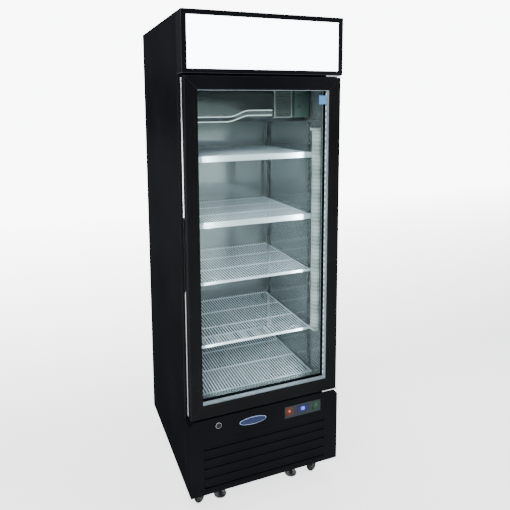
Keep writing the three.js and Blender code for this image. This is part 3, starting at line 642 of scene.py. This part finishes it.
def shelf_clip(bm, face, inward, y_middle, ledge_z):
    """A folded clip: a tongue in the pilaster slot and a ledge under the shelf rail."""
    tongue = sorted((face + inward * X(0.1), face + inward * X(1.1)))
    ledge = sorted((face + inward * X(0.1), face + inward * X(13)))
    y0, y1 = y_middle - X(5), y_middle + X(5)
    add_box(bm, (tongue[0], y0, ledge_z - X(14)), (tongue[1], y1, ledge_z), X(0.3))
    add_box(bm, (ledge[0], y0, ledge_z - X(1.4)), (ledge[1], y1, ledge_z - X(0.2)), X(0.3))


clips = bmesh.new()
for corner in CORNERS:
    y0, y1, face, inward = pilaster(f"{corner}_pilaster")
    for number in SHELVES:
        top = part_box(f"shelf_{number}")[1].z - LIP
        shelf_clip(clips, face, inward, (y0 + y1) / 2, top - 2 * WIRE - 2 * RAIL)
finish_mesh("shelf_clips", clips, "galvanised")


# ---- door ----

stile_low, stile_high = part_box("door_pull_stile")
cup_low, cup_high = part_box("door_pull_cup")


def edge_trim(name, z0, z1, look):
    """A bright strip let into the free edge of the door, set back from the front."""
    bm = bmesh.new()
    x0, x1 = stile_low.x - X(1.6), stile_low.x + X(0.2)
    outline = rounded(Y(31), Y(42), x0, x1, X(0.7), 3)
    add_prism(bm, outline, placed(NORTH, EAST, UP, (0, 0, z0)), z1 - z0)
    finish_mesh(name, bm, "aluminium_bare", look, body="door")


# The lower strip is the same metal as the upper one, painted darker as painted shade.
SHADED_TRIM = solid("painted_shade_trim", (0.15, 0.155, 0.16), (0.25, 0.4), metallic=1.0, variation=0.1, patches=8.0,
                  grain=60.0, grain_depth=0.01, stretch=(20, 20, 1))
edge_trim("upper_edge_trim", cup_high.z + X(4), stile_high.z - X(6), LOOKS["aluminium_bare"])
edge_trim("lower_edge_trim", stile_low.z + X(6), cup_low.z - X(4), SHADED_TRIM)

gasket_low, gasket_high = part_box("door_gasket")
GASKET_WIDTH = X(20)


def door_gasket():
    """A magnetic gasket: a folded bellows behind a rounded sealing face."""
    depth = gasket_high.y - gasket_low.y
    y0 = gasket_low.y
    section = [(0, y0), (0, y0 + depth * 0.2), (X(3), y0 + depth * 0.36), (0, y0 + depth * 0.55)]
    section += [(X(1), y0 + depth * 0.9), (X(4), gasket_high.y), (X(15), gasket_high.y)]
    section += [(X(19), y0 + depth * 0.85), (GASKET_WIDTH, y0 + depth * 0.6), (X(16), y0 + depth * 0.38)]
    section += [(GASKET_WIDTH, y0 + depth * 0.2), (GASKET_WIDTH, y0)]
    x = gasket_high.x - GASKET_WIDTH
    z0, z1 = gasket_low.z + GASKET_WIDTH, gasket_high.z - GASKET_WIDTH
    corners = [(-x, z0), (x, z0), (x, z1), (-x, z1)]
    outward = [(-1, -1), (1, -1), (1, 1), (-1, 1)]
    bm = bmesh.new()
    add_frame(bm, section, corners, outward)
    bellows = finish_mesh("door_gasket_bellows", bm, "rubber_black", smooth_angle=25, body="door")
    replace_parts(bellows, "door_gasket")


door_gasket()

# Painted glints: short glowing dashes along the inner face of the pane spacer stand for reflections of the cabin
# lamp's LEDs.
spacer_low, spacer_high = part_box("glass_spacer")
SPACER_WIDTH = X(8.5)
GLINT_PITCH, GLINT_LENGTH = X(26), X(14)
glints = bmesh.new()
glint_x = spacer_high.x - SPACER_WIDTH
glint_y = spacer_low.y + (spacer_high.y - spacer_low.y) * 0.75
z = spacer_low.z + X(20)
while z + GLINT_LENGTH < spacer_high.z - X(15):
    for side in (-1, 1):
        x0, x1 = sorted((side * glint_x, side * (glint_x - X(0.3))))
        add_box(glints, (x0, glint_y - X(2.2), z), (x1, glint_y + X(2.2), z + GLINT_LENGTH))
    z += GLINT_PITCH
finish_mesh("spacer_lamp_glints", glints, "aluminium_bare", LAMP_GLINT_GLOW, body="door")

# Bright strips along the edge of the door opening, clear of the gasket; part of their brightness is a faint glow,
# a painted reflection of the cabin lamp.
frame_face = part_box("face_frame")[0].y
liner_low, liner_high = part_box("liner_floor")[1].z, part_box("liner_top")[0].z
strips = bmesh.new()
y0, y1 = frame_face - X(0.9), frame_face - X(0.1)
for side in (-1, 1):
    x0, x1 = sorted((side * X(288.4), side * X(299)))
    add_box(strips, (x0, y0, liner_low + X(2)), (x1, y1, liner_high - X(2)), X(0.3))
add_box(strips, (X(-288), y0, liner_high + X(0.4)), (X(288), y1, liner_high + X(6)), X(0.3))
finish_mesh("opening_edge_strips", strips, "aluminium_bare", STRIP_METAL_GLOW)

# Plain sticker on the inside of the outer pane.
pane_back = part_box("outer_glass")[1].y
sticker = bmesh.new()
add_prism(sticker, rounded(X(240), X(274), 1.713, 1.749, X(2)),
          placed(EAST, UP, NORTH, (0, pane_back + X(0.02), 0)), X(0.2))
finish_mesh("plain_sticker", sticker, "display_blue", STICKER, body="door")

# Hinge washers and screws.
HINGE_PIN_X, HINGE_PIN_Y = X(322), Y(20)
PLATE_THICKNESS = X(4)
hardware, screws = bmesh.new(), bmesh.new()
for node, faces in (("bottom_hinge", 1), ("top_hinge", -1)):
    low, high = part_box(node)
    plate_z = low.z + PLATE_THICKNESS if faces > 0 else high.z - PLATE_THICKNESS
    washer = in_mm((5.4, 0.1), (9.5, 0.1), (9.5, 1.9), (5.4, 1.9))
    add_turned(hardware, washer, looking((0, 0, faces), (HINGE_PIN_X, HINGE_PIN_Y, plate_z)), 32)
    for x in (282, 300, 318):
        add_screw(screws, (X(x), Y(48), plate_z), (0, 0, faces), X(3.2))
finish_mesh("hinge_washers", hardware, "chrome_plate")
finish_mesh("hinge_screws", screws, "chrome_plate")


# ---- sign lamp ----

sign_low, sign_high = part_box("sign_panel")
lamps, sockets = bmesh.new(), bmesh.new()
for share in (0.3, 0.7):
    z = sign_low.z + share * (sign_high.z - sign_low.z)
    add_tube(lamps, [(sign_low.x + X(30), Y(42), z), (sign_high.x - X(30), Y(42), z)], X(7), 16)
    for side in (-1, 1):
        x0, x1 = sorted((side * (sign_high.x - X(29)), side * (sign_high.x - X(14))))
        add_box(sockets, (x0, Y(30), z - X(12)), (x1, Y(60), z + X(12)), X(2))
finish_mesh("sign_lamp_tubes", lamps, "diffuser", LAMP_GLOW)
finish_mesh("sign_lamp_sockets", sockets, "white_coating")


# ---- base cover: louvre hoods, lock, badge, display ----

hoods = bmesh.new()
for index in range(5):
    z = X(320 - 42 * index)
    outline = [(Y(1.2), z + X(12)), (Y(-0.2), z + X(9)), (Y(-1.4), z + X(2)), (Y(-0.2), z + X(1.6)),
               (Y(1.6), z + X(7)), (Y(2.2), z + X(12))]
    add_prism(hoods, outline, along_x(X(-279)), X(554))
finish_mesh("louvre_hoods", hoods, "black_steel", smooth_angle=20)

lock_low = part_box("lock_plug")[0]
LOCK = Vector((X(-220), 0, X(415)))


bm = bmesh.new()
ring = in_mm((11.5, -0.5), (12.8, -0.5), (12.8, 0.9), (12.2, 1.8), (11.5, 2.0))
add_turned(bm, ring, facing_front(LOCK.x, Y(-0.1), LOCK.z), 48)
finish_mesh("lock_escutcheon", bm, "chrome_plate", LOCK_STEEL)

bm = bmesh.new()
face_y = lock_low.y
core = in_mm((0, -37), (10.8, -37), (10.8, -1), (10, 0), (5.6, 0), (5.2, -0.5), (5.2, -1.4), (0, -1.4))
add_turned(bm, core, facing_front(LOCK.x, face_y, LOCK.z), 48)
add_box(bm, (lock_low.x, Y(28.2), X(408.2)), (X(-212.2), Y(32.8), X(421.8)), X(1.5))
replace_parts(finish_mesh("lock_core_and_cam", bm, "chrome_plate", DARK_ZINC, body="lock"), "lock_plug")
bm = bmesh.new()
low = (LOCK.x - X(1.6), face_y + X(0.5), LOCK.z - X(4.6))
high = (LOCK.x + X(1.6), face_y + X(1.6), LOCK.z + X(4.6))
add_box(bm, low, high, X(0.3))
finish_mesh("lock_key_slot", bm, "black_plastic", body="lock")

BADGE = facing_front(X(-67), Y(-0.1), X(401))


def oval(half_width, half_height, steps=64):
    angles = [2 * math.pi * step / steps for step in range(steps)]
    return [(half_width * math.cos(angle), half_height * math.sin(angle)) for angle in angles]


bm = bmesh.new()
add_prism(bm, oval(X(60.5), X(16)), BADGE, X(1.2))
finish_mesh("badge_rim", bm, "aluminium_bare", BADGE_RIM)
bm = bmesh.new()
add_prism(bm, oval(X(58.6), X(14.2)), BADGE, X(1.8))
finish_mesh("blank_badge", bm, "plate_teal", BADGE_BLUE)

bm = bmesh.new()
add_box(bm, (X(-282), Y(14), X(146)), (X(278), Y(22), X(350)), X(1))
finish_mesh("air_filter", bm, "foam", FILTER)

SEGMENTS = {"3": "abgcd", "8": "abcdefg"}
# Each stroke's place across and up the digit, then whether it lies flat or stands.
STROKES = {"a": (0, 1, 1, 0), "g": (0, 0.5, 1, 0), "d": (0, 0, 1, 0), "f": (0, 0.5, 0, 1),
           "b": (1, 0.5, 0, 1), "e": (0, 0, 0, 1), "c": (1, 0, 0, 1)}
digits = bmesh.new()
display_low, display_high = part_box("temperature_display")
size_x, size_z, stroke = X(5.5), X(11), X(1.3)
for place, digit in enumerate("38"):
    corner_x = (display_low.x + display_high.x) / 2 - X(8) + place * X(9.5)
    corner_z = (display_low.z + display_high.z) / 2 - size_z / 2
    for segment in SEGMENTS[digit]:
        across, up, flat, tall = STROKES[segment]
        x0, z0 = corner_x + across * size_x, corner_z + up * size_z
        low = (x0 + (stroke * 0.3 if flat else -stroke / 2), display_low.y - X(0.3),
               z0 + (stroke * 0.3 if tall else -stroke / 2))
        high = (x0 + (size_x - stroke * 0.3 if flat else stroke / 2), display_low.y + X(0.1),
                z0 + (size_z / 2 - stroke * 0.3 if tall else stroke / 2))
        add_box(digits, low, high)
DIGIT_LIGHT = solid("digit_light", (0.10, 0.20, 0.60), emission=((0.13, 0.22, 1.0), 2.6))
finish_mesh("display_digits", digits, "display_blue", DIGIT_LIGHT)


# ---- casters and feet ----

def caster_wheel(node):
    """A rubber tyre on a black hub with chrome caps, turned about the wheel's own axis."""
    joint = next(item for item in frame["joints"] if item["name"] == node.replace("_wheel", "_roll"))
    axis = Vector(joint["axis"])
    centre = Vector(joint["pos_m"])
    place = looking(axis, centre)
    half = X(8.4)
    tyre = [(X(17), -half * 0.86), (X(21), -half * 0.95)] + [
        (X(25) - X(4) + X(4) * math.cos(math.radians(a)), half * math.sin(math.radians(a)) * 0.98)
        for a in range(-75, 76, 15)] + [(X(21), half * 0.95), (X(17), half * 0.86)]
    bm = bmesh.new()
    add_turned(bm, tyre, place, 56)
    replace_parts(finish_mesh(f"{node}_tyre", bm, "rubber_black", smooth_angle=40, body=node), node)
    bm = bmesh.new()
    hub = [(X(3.6), -half), (X(8), -half), (X(9), -half * 0.7), (X(14), -half * 0.6), (X(16), -half * 0.85),
           (X(16.9), -half * 0.85), (X(16.9), half * 0.85), (X(16), half * 0.85), (X(14), half * 0.6),
           (X(9), half * 0.7), (X(8), half), (X(3.6), half)]
    add_turned(bm, hub, place, 48)
    finish_mesh(f"{node}_hub", bm, "black_plastic", smooth_angle=40, body=node)
    bm = bmesh.new()
    for side in (-1, 1):
        cap = [(0, half * 0.96), (X(7), half * 0.96), (X(6.6), half + X(0.9)), (X(3), half + X(1.6)),
               (0, half + X(1.6))]
        add_turned(bm, cap, looking(axis * side, centre), 28)
    finish_mesh(f"{node}_hub_caps", bm, "chrome_plate", body=node)


def levelling_foot(side):
    """A turned pad under a hexagon nut and a threaded stud."""
    node = f"{side}_foot"
    low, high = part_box(node)
    centre = (low + high) / 2
    place = Matrix.Translation((centre.x, centre.y, 0))
    rim = (high.x - low.x) / 2
    pad = [(0, 0), (rim - X(1), 0), (rim, X(1.2)), (rim, X(5.4)), (rim - X(1.4), X(6.6)), (X(15), X(8.6)),
           (X(11), X(12.6)), (X(8.5), X(14)), (0, X(14))]
    bm = bmesh.new()
    add_turned(bm, pad, place, 56)
    hexagon = [(X(9.8) * math.cos(math.radians(60 * k)), X(9.8) * math.sin(math.radians(60 * k)))
               for k in range(6)]
    add_prism(bm, hexagon, place @ Matrix.Translation((0, 0, X(14.1))), X(7.8))
    thread = [(0, X(22)), (X(5.2), X(22))]
    z = X(22.8)
    while z < high.z - X(1):
        thread += [(X(5.95), z), (X(5.2), z + X(0.8))]
        z += X(1.6)
    thread += [(0, z)]
    add_turned(bm, thread, place, 24)
    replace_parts(finish_mesh(f"{side}_levelling_foot", bm, "chrome_plate", FOOT_STEEL, 30, body=node), node)


for corner in CORNERS:
    caster_wheel(f"{corner}_caster_wheel")
levelling_foot("left")
levelling_foot("right")


# ---- refrigeration unit ----

def finned_coil(name, fin_count, tube_rows, tube_levels):
    """Many thin fins on straight tubes that join in return bends."""
    node = f"{name}_coil"
    low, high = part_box(node)
    fins = bmesh.new()
    pitch = (high.x - low.x - X(20)) / fin_count
    for index in range(fin_count + 1):
        x = low.x + X(10) + index * pitch
        add_box(fins, (x - X(0.2), low.y + X(0.5), low.z), (x + X(0.2), high.y - X(0.5), high.z))
    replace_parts(finish_mesh(f"{name}_fins", fins, "aluminium_bare"), node)
    pipes = bmesh.new()
    step = (high.z - low.z) / tube_levels
    for row in range(tube_rows):
        y = low.y + (row + 0.5) * (high.y - low.y) / tube_rows
        path = []
        for level in range(tube_levels):
            z = low.z + (level + 0.5) * step
            ends = [low.x + X(12), high.x - X(12)]
            if level % 2:
                ends.reverse()
            path += [(ends[0], y, z), (ends[1], y, z)]
            if level < tube_levels - 1:
                side = 1 if level % 2 == 0 else -1
                for px, pz in arc((ends[1], z + step / 2), 1, -90, 90, 6)[1:-1]:
                    path.append((ends[1] + side * (px - ends[1]) * X(9), y,
                                 z + step / 2 + (pz - z - step / 2) * step / 2))
        add_tube(pipes, path, X(4), 10)
    finish_mesh(f"{name}_pipes", pipes, "aluminium_bare", COPPER, 50)


finned_coil("condenser", 70, 1, 7)
finned_coil("evaporator", 60, 3, 3)

shell_low, shell_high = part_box("compressor")
dome_centre = Vector((X(-150), Y(470), 0))
bm = bmesh.new()
z0, z1 = shell_low.z + X(6), shell_high.z
cap_z = z0 + X(118)
radius = X(80)
dome = [(0, z0)] + [(radius - X(24) + X(24) * math.cos(math.radians(a)),
                     z0 + X(24) + X(24) * math.sin(math.radians(a))) for a in range(-90, 1, 15)]
dome += [(radius, z0 + X(74)), (radius + X(1.5), z0 + X(76)), (radius + X(1.5), z0 + X(82)),
         (radius - X(1), z0 + X(84)), (radius - X(1), cap_z)]
dome += [((radius - X(1)) * math.cos(math.radians(a)), cap_z + (z1 - cap_z) * math.sin(math.radians(a)))
         for a in range(10, 90, 10)] + [(0, z1)]
add_turned(bm, dome, Matrix.Translation((dome_centre.x, dome_centre.y, 0)), 64)
add_box(bm, (shell_low.x, shell_low.y, shell_low.z + X(3)),
        (shell_high.x, shell_high.y, shell_low.z + X(6)), X(1))
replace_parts(finish_mesh("compressor_shell", bm, "compressor_black"), "compressor")
bm = bmesh.new()
for x in (shell_low.x + X(14), shell_high.x - X(14)):
    for y in (shell_low.y + X(14), shell_high.y - X(14)):
        grommet = in_mm((0, 0), (10, 0), (8, 1.4), (10, 2.9), (0, 2.9))
        add_turned(bm, grommet, Matrix.Translation((x, y, shell_low.z)), 24)
finish_mesh("compressor_mounts", bm, "rubber_black")
bm = bmesh.new()
add_box(bm, (X(-180), Y(376), X(190)), (X(-120), Y(396), X(250)), X(4))
finish_mesh("compressor_terminal_box", bm, "black_plastic")
bm = bmesh.new()
suction = [(-80, 500, 200), (-40, 520, 200), (-20, 560, 205), (-20, 640, 230), (-20, 662, 260),
           (-20, 662, 425)]
discharge = [(-80, 450, 180), (-40, 420, 180), (-10, 340, 190), (15, 250, 200), (20, 170, 210),
             (34, 135, 215)]
for path, thickness in ((suction, X(4.5)), (discharge, X(3.5))):
    add_tube(bm, [(X(x), Y(y), X(z)) for x, y, z in path], thickness, 12)
finish_mesh("refrigerant_lines", bm, "aluminium_bare", COPPER, 60)
bm = bmesh.new()
drier = in_mm((0, -52), (5, -50), (6, -42), (14, -34), (14, 34), (6, 42), (5, 50), (0, 52))
add_turned(bm, drier, looking((1, 0, 0), (X(60), Y(300), X(150))), 32)
finish_mesh("filter_drier", bm, "aluminium_bare", COPPER)
bm = bmesh.new()
add_box(bm, (X(40), Y(420), X(123)), (X(300), Y(640), X(126)), X(1))
for x0, y0, x1, y1 in ((40, 420, 300, 423), (40, 637, 300, 640), (40, 423, 43, 637), (297, 423, 300, 637)):
    add_box(bm, (X(x0), Y(y0), X(126)), (X(x1), Y(y1), X(165)), X(0.8))
finish_mesh("condensate_pan", bm, "galvanised")


def fan(node, blades):
    """Curved sheet blades on a domed hub."""
    low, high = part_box(node)
    joint = next(item for item in frame["joints"] if item["child"] == node)
    centre = Vector((joint["pos_m"][0], (low.y + high.y) / 2, joint["pos_m"][2]))
    radius = (high.z - low.z) / 2 * 0.97
    depth = high.y - low.y
    bm = bmesh.new()
    hub = [(0, 0), (radius * 0.26, 0), (radius * 0.27, depth * 0.8), (radius * 0.2, depth * 0.97), (0, depth)]
    add_turned(bm, hub, facing_front(centre.x, centre.y + depth / 2, centre.z), 32)
    for blade in range(blades):
        turn = 2 * math.pi * blade / blades
        grid = []
        for i in range(7):
            r = radius * (0.25 + 0.75 * i / 6)
            half_arc = 0.42 + 0.08 * math.sin(math.pi * i / 6)
            row = []
            for j in range(7):
                share = j / 6
                angle = turn + (share - 0.5) * 2 * half_arc
                y = centre.y + (share - 0.5) * depth * 0.75 + depth * 0.1 * math.sin(math.pi * share)
                row.append(bm.verts.new((centre.x + r * math.cos(angle), y, centre.z + r * math.sin(angle))))
            grid.append(row)
        for i in range(6):
            for j in range(6):
                bm.faces.new((grid[i][j], grid[i + 1][j], grid[i + 1][j + 1], grid[i][j + 1]))
    piece = finish_mesh(f"{node}_blades", bm, "black_plastic", smooth_angle=50, body=node)
    thick = piece.modifiers.new("sheet", "SOLIDIFY")
    thick.thickness = X(1.4)
    thick.offset = 0
    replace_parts(piece, node)
    return centre, depth


for node, blades, motor_radius in (("condenser_fan", 5, X(34)), ("evaporator_fan", 4, X(22))):
    centre, depth = fan(node, blades)
    bm = bmesh.new()
    motor = [(0, 0), (motor_radius, 0), (motor_radius, X(34)), (motor_radius * 0.6, X(40)), (0, X(40))]
    start = centre.y + depth / 2 + X(2)
    add_turned(bm, motor, placed(EAST, DOWN, NORTH, (centre.x, start, centre.z)), 36)
    finish_mesh(f"{node}_motor", bm, "compressor_black")


# ---- evaporator cover details and interior lamp ----

cover_low, cover_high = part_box("evaporator_cover")
grille = bmesh.new()
gx0, gx1 = X(117), X(203)
gz0, gz1 = cover_low.z + X(22), cover_high.z - X(3)
gy0, gy1 = cover_low.y - X(9), cover_low.y - X(0.3)
add_box(grille, (gx0, gy0, gz0), (gx0 + X(4), gy1, gz1), X(0.6))
add_box(grille, (gx1 - X(4), gy0, gz0), (gx1, gy1, gz1), X(0.6))
add_box(grille, (gx0, gy0, gz0 - X(4)), (gx1, gy1, gz0), X(0.6))
slats = 17
for index in range(slats):
    z = gz0 + (index + 0.5) * (gz1 - gz0) / slats
    outline = [(gy0, z - X(3)), (gy0 + X(1), z - X(3.4)), (gy1, z + X(1.6)), (gy1, z + X(2.8))]
    add_prism(grille, outline, along_x(gx0 + X(4)), gx1 - gx0 - X(8))
GREY_PLASTIC = solid("grey_plastic", (0.34, 0.38, 0.37), (0.4, 0.5), variation=0.1, grain=600.0)
GRILLE_GREY = solid("grille_plastic", (0.17, 0.195, 0.19), (0.35, 0.5), variation=0.15, grain=600.0)
finish_mesh("air_grille", grille, "diffuser", GRILLE_GREY, 30)
bm = bmesh.new()
add_box(bm, (X(207), cover_low.y - X(26), cover_low.z + X(18)),
        (X(279), cover_low.y - X(0.5), cover_high.z - X(4)), X(4), 4)
DARK_TEAL = solid("thermostat_box", (0.035, 0.055, 0.050), (0.25, 0.4), specular=0.3, variation=0.2,
                  grain=500.0)
finish_mesh("thermostat_box", bm, "black_plastic", DARK_TEAL)


def smooth_step(value):
    value = min(1.0, max(0.0, value))
    return value * value * (3 - 2 * value)


BEND = X(45)


def cover_front(z):
    """How far back the cover's face is at a height: its lower edge rolls back round the bend."""
    below = min(1.0, max(0.0, (cover_low.z + BEND - z) / BEND))
    return cover_low.y + BEND * (1 - math.sqrt(1 - below * below))


# Two thin beads along the cover's lower bend; their glow is a painted reflection of the cabin lights on the bend.
lines = bmesh.new()
for level in (4, 25):
    path = []
    for step in range(41):
        x = -276 + step * 9.6
        z = cover_low.z + X(level) + X(26) * smooth_step((x + 90) / 90)
        path.append((X(x), cover_front(z) - X(2.4), z))
    add_tube(lines, path, X(2.4), 10)
finish_mesh("evaporator_reflection_lines", lines, "chrome_plate", REFLECTION_LINE_GLOW, 60)

lamp_low, lamp_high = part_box("interior_lamp")
caps = bmesh.new()
for z0, z1 in ((lamp_low.z - X(14), lamp_low.z - X(0.3)), (lamp_high.z + X(0.3), lamp_high.z + X(14))):
    add_box(caps, (lamp_low.x - X(1), lamp_low.y - X(1), z0), (lamp_high.x, lamp_high.y + X(1), z1), X(3), 3)
finish_mesh("lamp_end_caps", caps, "white_coating", GREY_PLASTIC)


# ---- screws on the back ----

screw_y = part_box("back_panel")[1].y - X(0.05)
spots = [(x, z) for z in (140, 440, 760, 1080, 1400, 1720, 2040) for x in (-326, 326)]
spots += [(x, z) for x in (-200, 0, 200) for z in (140, 2046)]
screws = bmesh.new()
for x, z in spots:
    add_screw(screws, (X(x), screw_y, X(z)), NORTH)
finish_mesh("back_screws", screws, "galvanised")


# ---- floor, lights and camera ----

SKY_GLOW = 9.0  # what the camera sees
SKY_LIGHT = 0.3  # what reaches everything else
FLOOR_GLOW = 1.9
FLOOR_HALF_WIDTH = 30


def studio():
    """A plain pale floor that grows brighter behind the cabinet until it meets the sky."""
    material, tree, output = new_material("studio_floor")
    place = object_coordinates(tree)
    behind = add_node(tree, "ShaderNodeSeparateXYZ", {0: place}).outputs["Y"]
    shader = add_node(tree, "ShaderNodeBsdfPrincipled",
                      {"Roughness": 0.9, "Specular IOR Level": 0.1, "Emission Color": (0.98, 0.99, 1.0, 1),
                       "Emission Strength": spread(tree, behind, FLOOR_GLOW, SKY_GLOW * 0.95, 0.5, 6.0)})
    clouds = noise(tree, place, 0.6)
    pale = tinted(tree, clouds, (0.80, 0.80, 0.80, 1), (0.83, 0.83, 0.83, 1))
    tree.links.new(pale, shader.inputs["Base Color"])
    tree.links.new(shader.outputs[0], output.inputs["Surface"])
    bm = bmesh.new()
    bmesh.ops.create_grid(bm, x_segments=1, y_segments=1, size=FLOOR_HALF_WIDTH)
    mesh = bpy.data.meshes.new("floor")
    bm.to_mesh(mesh)
    bm.free()
    mesh.materials.append(material)
    floor = bpy.data.objects.new("floor", mesh)
    link(floor)
    floor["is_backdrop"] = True

    world = bpy.data.worlds.new("studio")
    bpy.context.scene.world = world
    world.use_nodes = True
    tree = world.node_tree
    tree.nodes.clear()
    sight = add_node(tree, "ShaderNodeLightPath").outputs["Is Camera Ray"]
    strength = spread(tree, sight, SKY_LIGHT, SKY_GLOW, 0, 1)
    sky = add_node(tree, "ShaderNodeBackground", {"Color": (0.97, 0.985, 1.0, 1), "Strength": strength})
    output = add_node(tree, "ShaderNodeOutputWorld")
    tree.links.new(sky.outputs[0], output.inputs["Surface"])


def area_light(name, at, target, size, power, color=(1, 1, 1), hidden=False):
    """A soft light that the camera never sees; a hidden one leaves no reflection either."""
    data = bpy.data.lights.new(name, "AREA")
    data.shape = "RECTANGLE"
    data.size, data.size_y = size
    data.energy = power
    data.color = color
    lamp = bpy.data.objects.new(name, data)
    lamp.location = at
    lamp.visible_camera = False
    lamp.visible_glossy = not hidden
    lamp.rotation_euler = (Vector(target) - Vector(at)).to_track_quat("-Z", "Y").to_euler()
    link(lamp)


CAMERA_PLACE = (-0.831, Y(-1802), 1.698)
CAMERA_TURN = (82.995, 0.552, -20.935)
LENS_MM = 35.31
SHIFT = (0.0423, -0.1660)


def camera():
    data = bpy.data.cameras.new("camera")
    data.sensor_width = 36
    data.lens = LENS_MM
    data.shift_x, data.shift_y = SHIFT
    data.clip_start, data.clip_end = 0.05, 100
    view = bpy.data.objects.new("camera", data)
    view.location = CAMERA_PLACE
    view.rotation_euler = Euler([math.radians(angle) for angle in CAMERA_TURN])
    link(view)
    bpy.context.scene.camera = view


studio()
area_light("key_softbox", (-2.6, -3.4, 3.6), (0, 0, 1.0), (2.4, 2.4), 210)
area_light("fill_softbox", (3.2, -2.6, 2.6), (0, 0, 1.0), (2.0, 2.6), 110)
area_light("top_softbox", (0, 0.2, 4.6), (0, 0, 0), (3.4, 3.4), 170)
area_light("back_softbox", (-1.5, 3.6, 3.0), (0, 0, 1.0), (2.4, 2.0), 90)
LAMP_X, LAMP_Z, LAMP_SIZE = X(222), 1.06, (0.03, 1.05)
COOL_WHITE = (0.93, 0.955, 1.0)
for name, at, target, size, power in (
        ("cabin_lamp", (LAMP_X, Y(98), LAMP_Z), (-0.25, Y(400), LAMP_Z), LAMP_SIZE, 6.5),
        ("cabin_ceiling_lamp", (0, Y(120), 1.62), (0, Y(330), 0.9), (0.5, 0.06), 0.35),
        ("cabin_low_lamp", (-0.1, Y(75), 0.62), (0, Y(420), 0.75), (0.3, 0.05), 0.9),
        ("cabin_side_lamp", (-LAMP_X, Y(98), LAMP_Z), (0.3, Y(330), LAMP_Z), LAMP_SIZE, 3.0)):
    area_light(name, at, target, size, power, COOL_WHITE, True)
camera()

low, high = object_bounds()
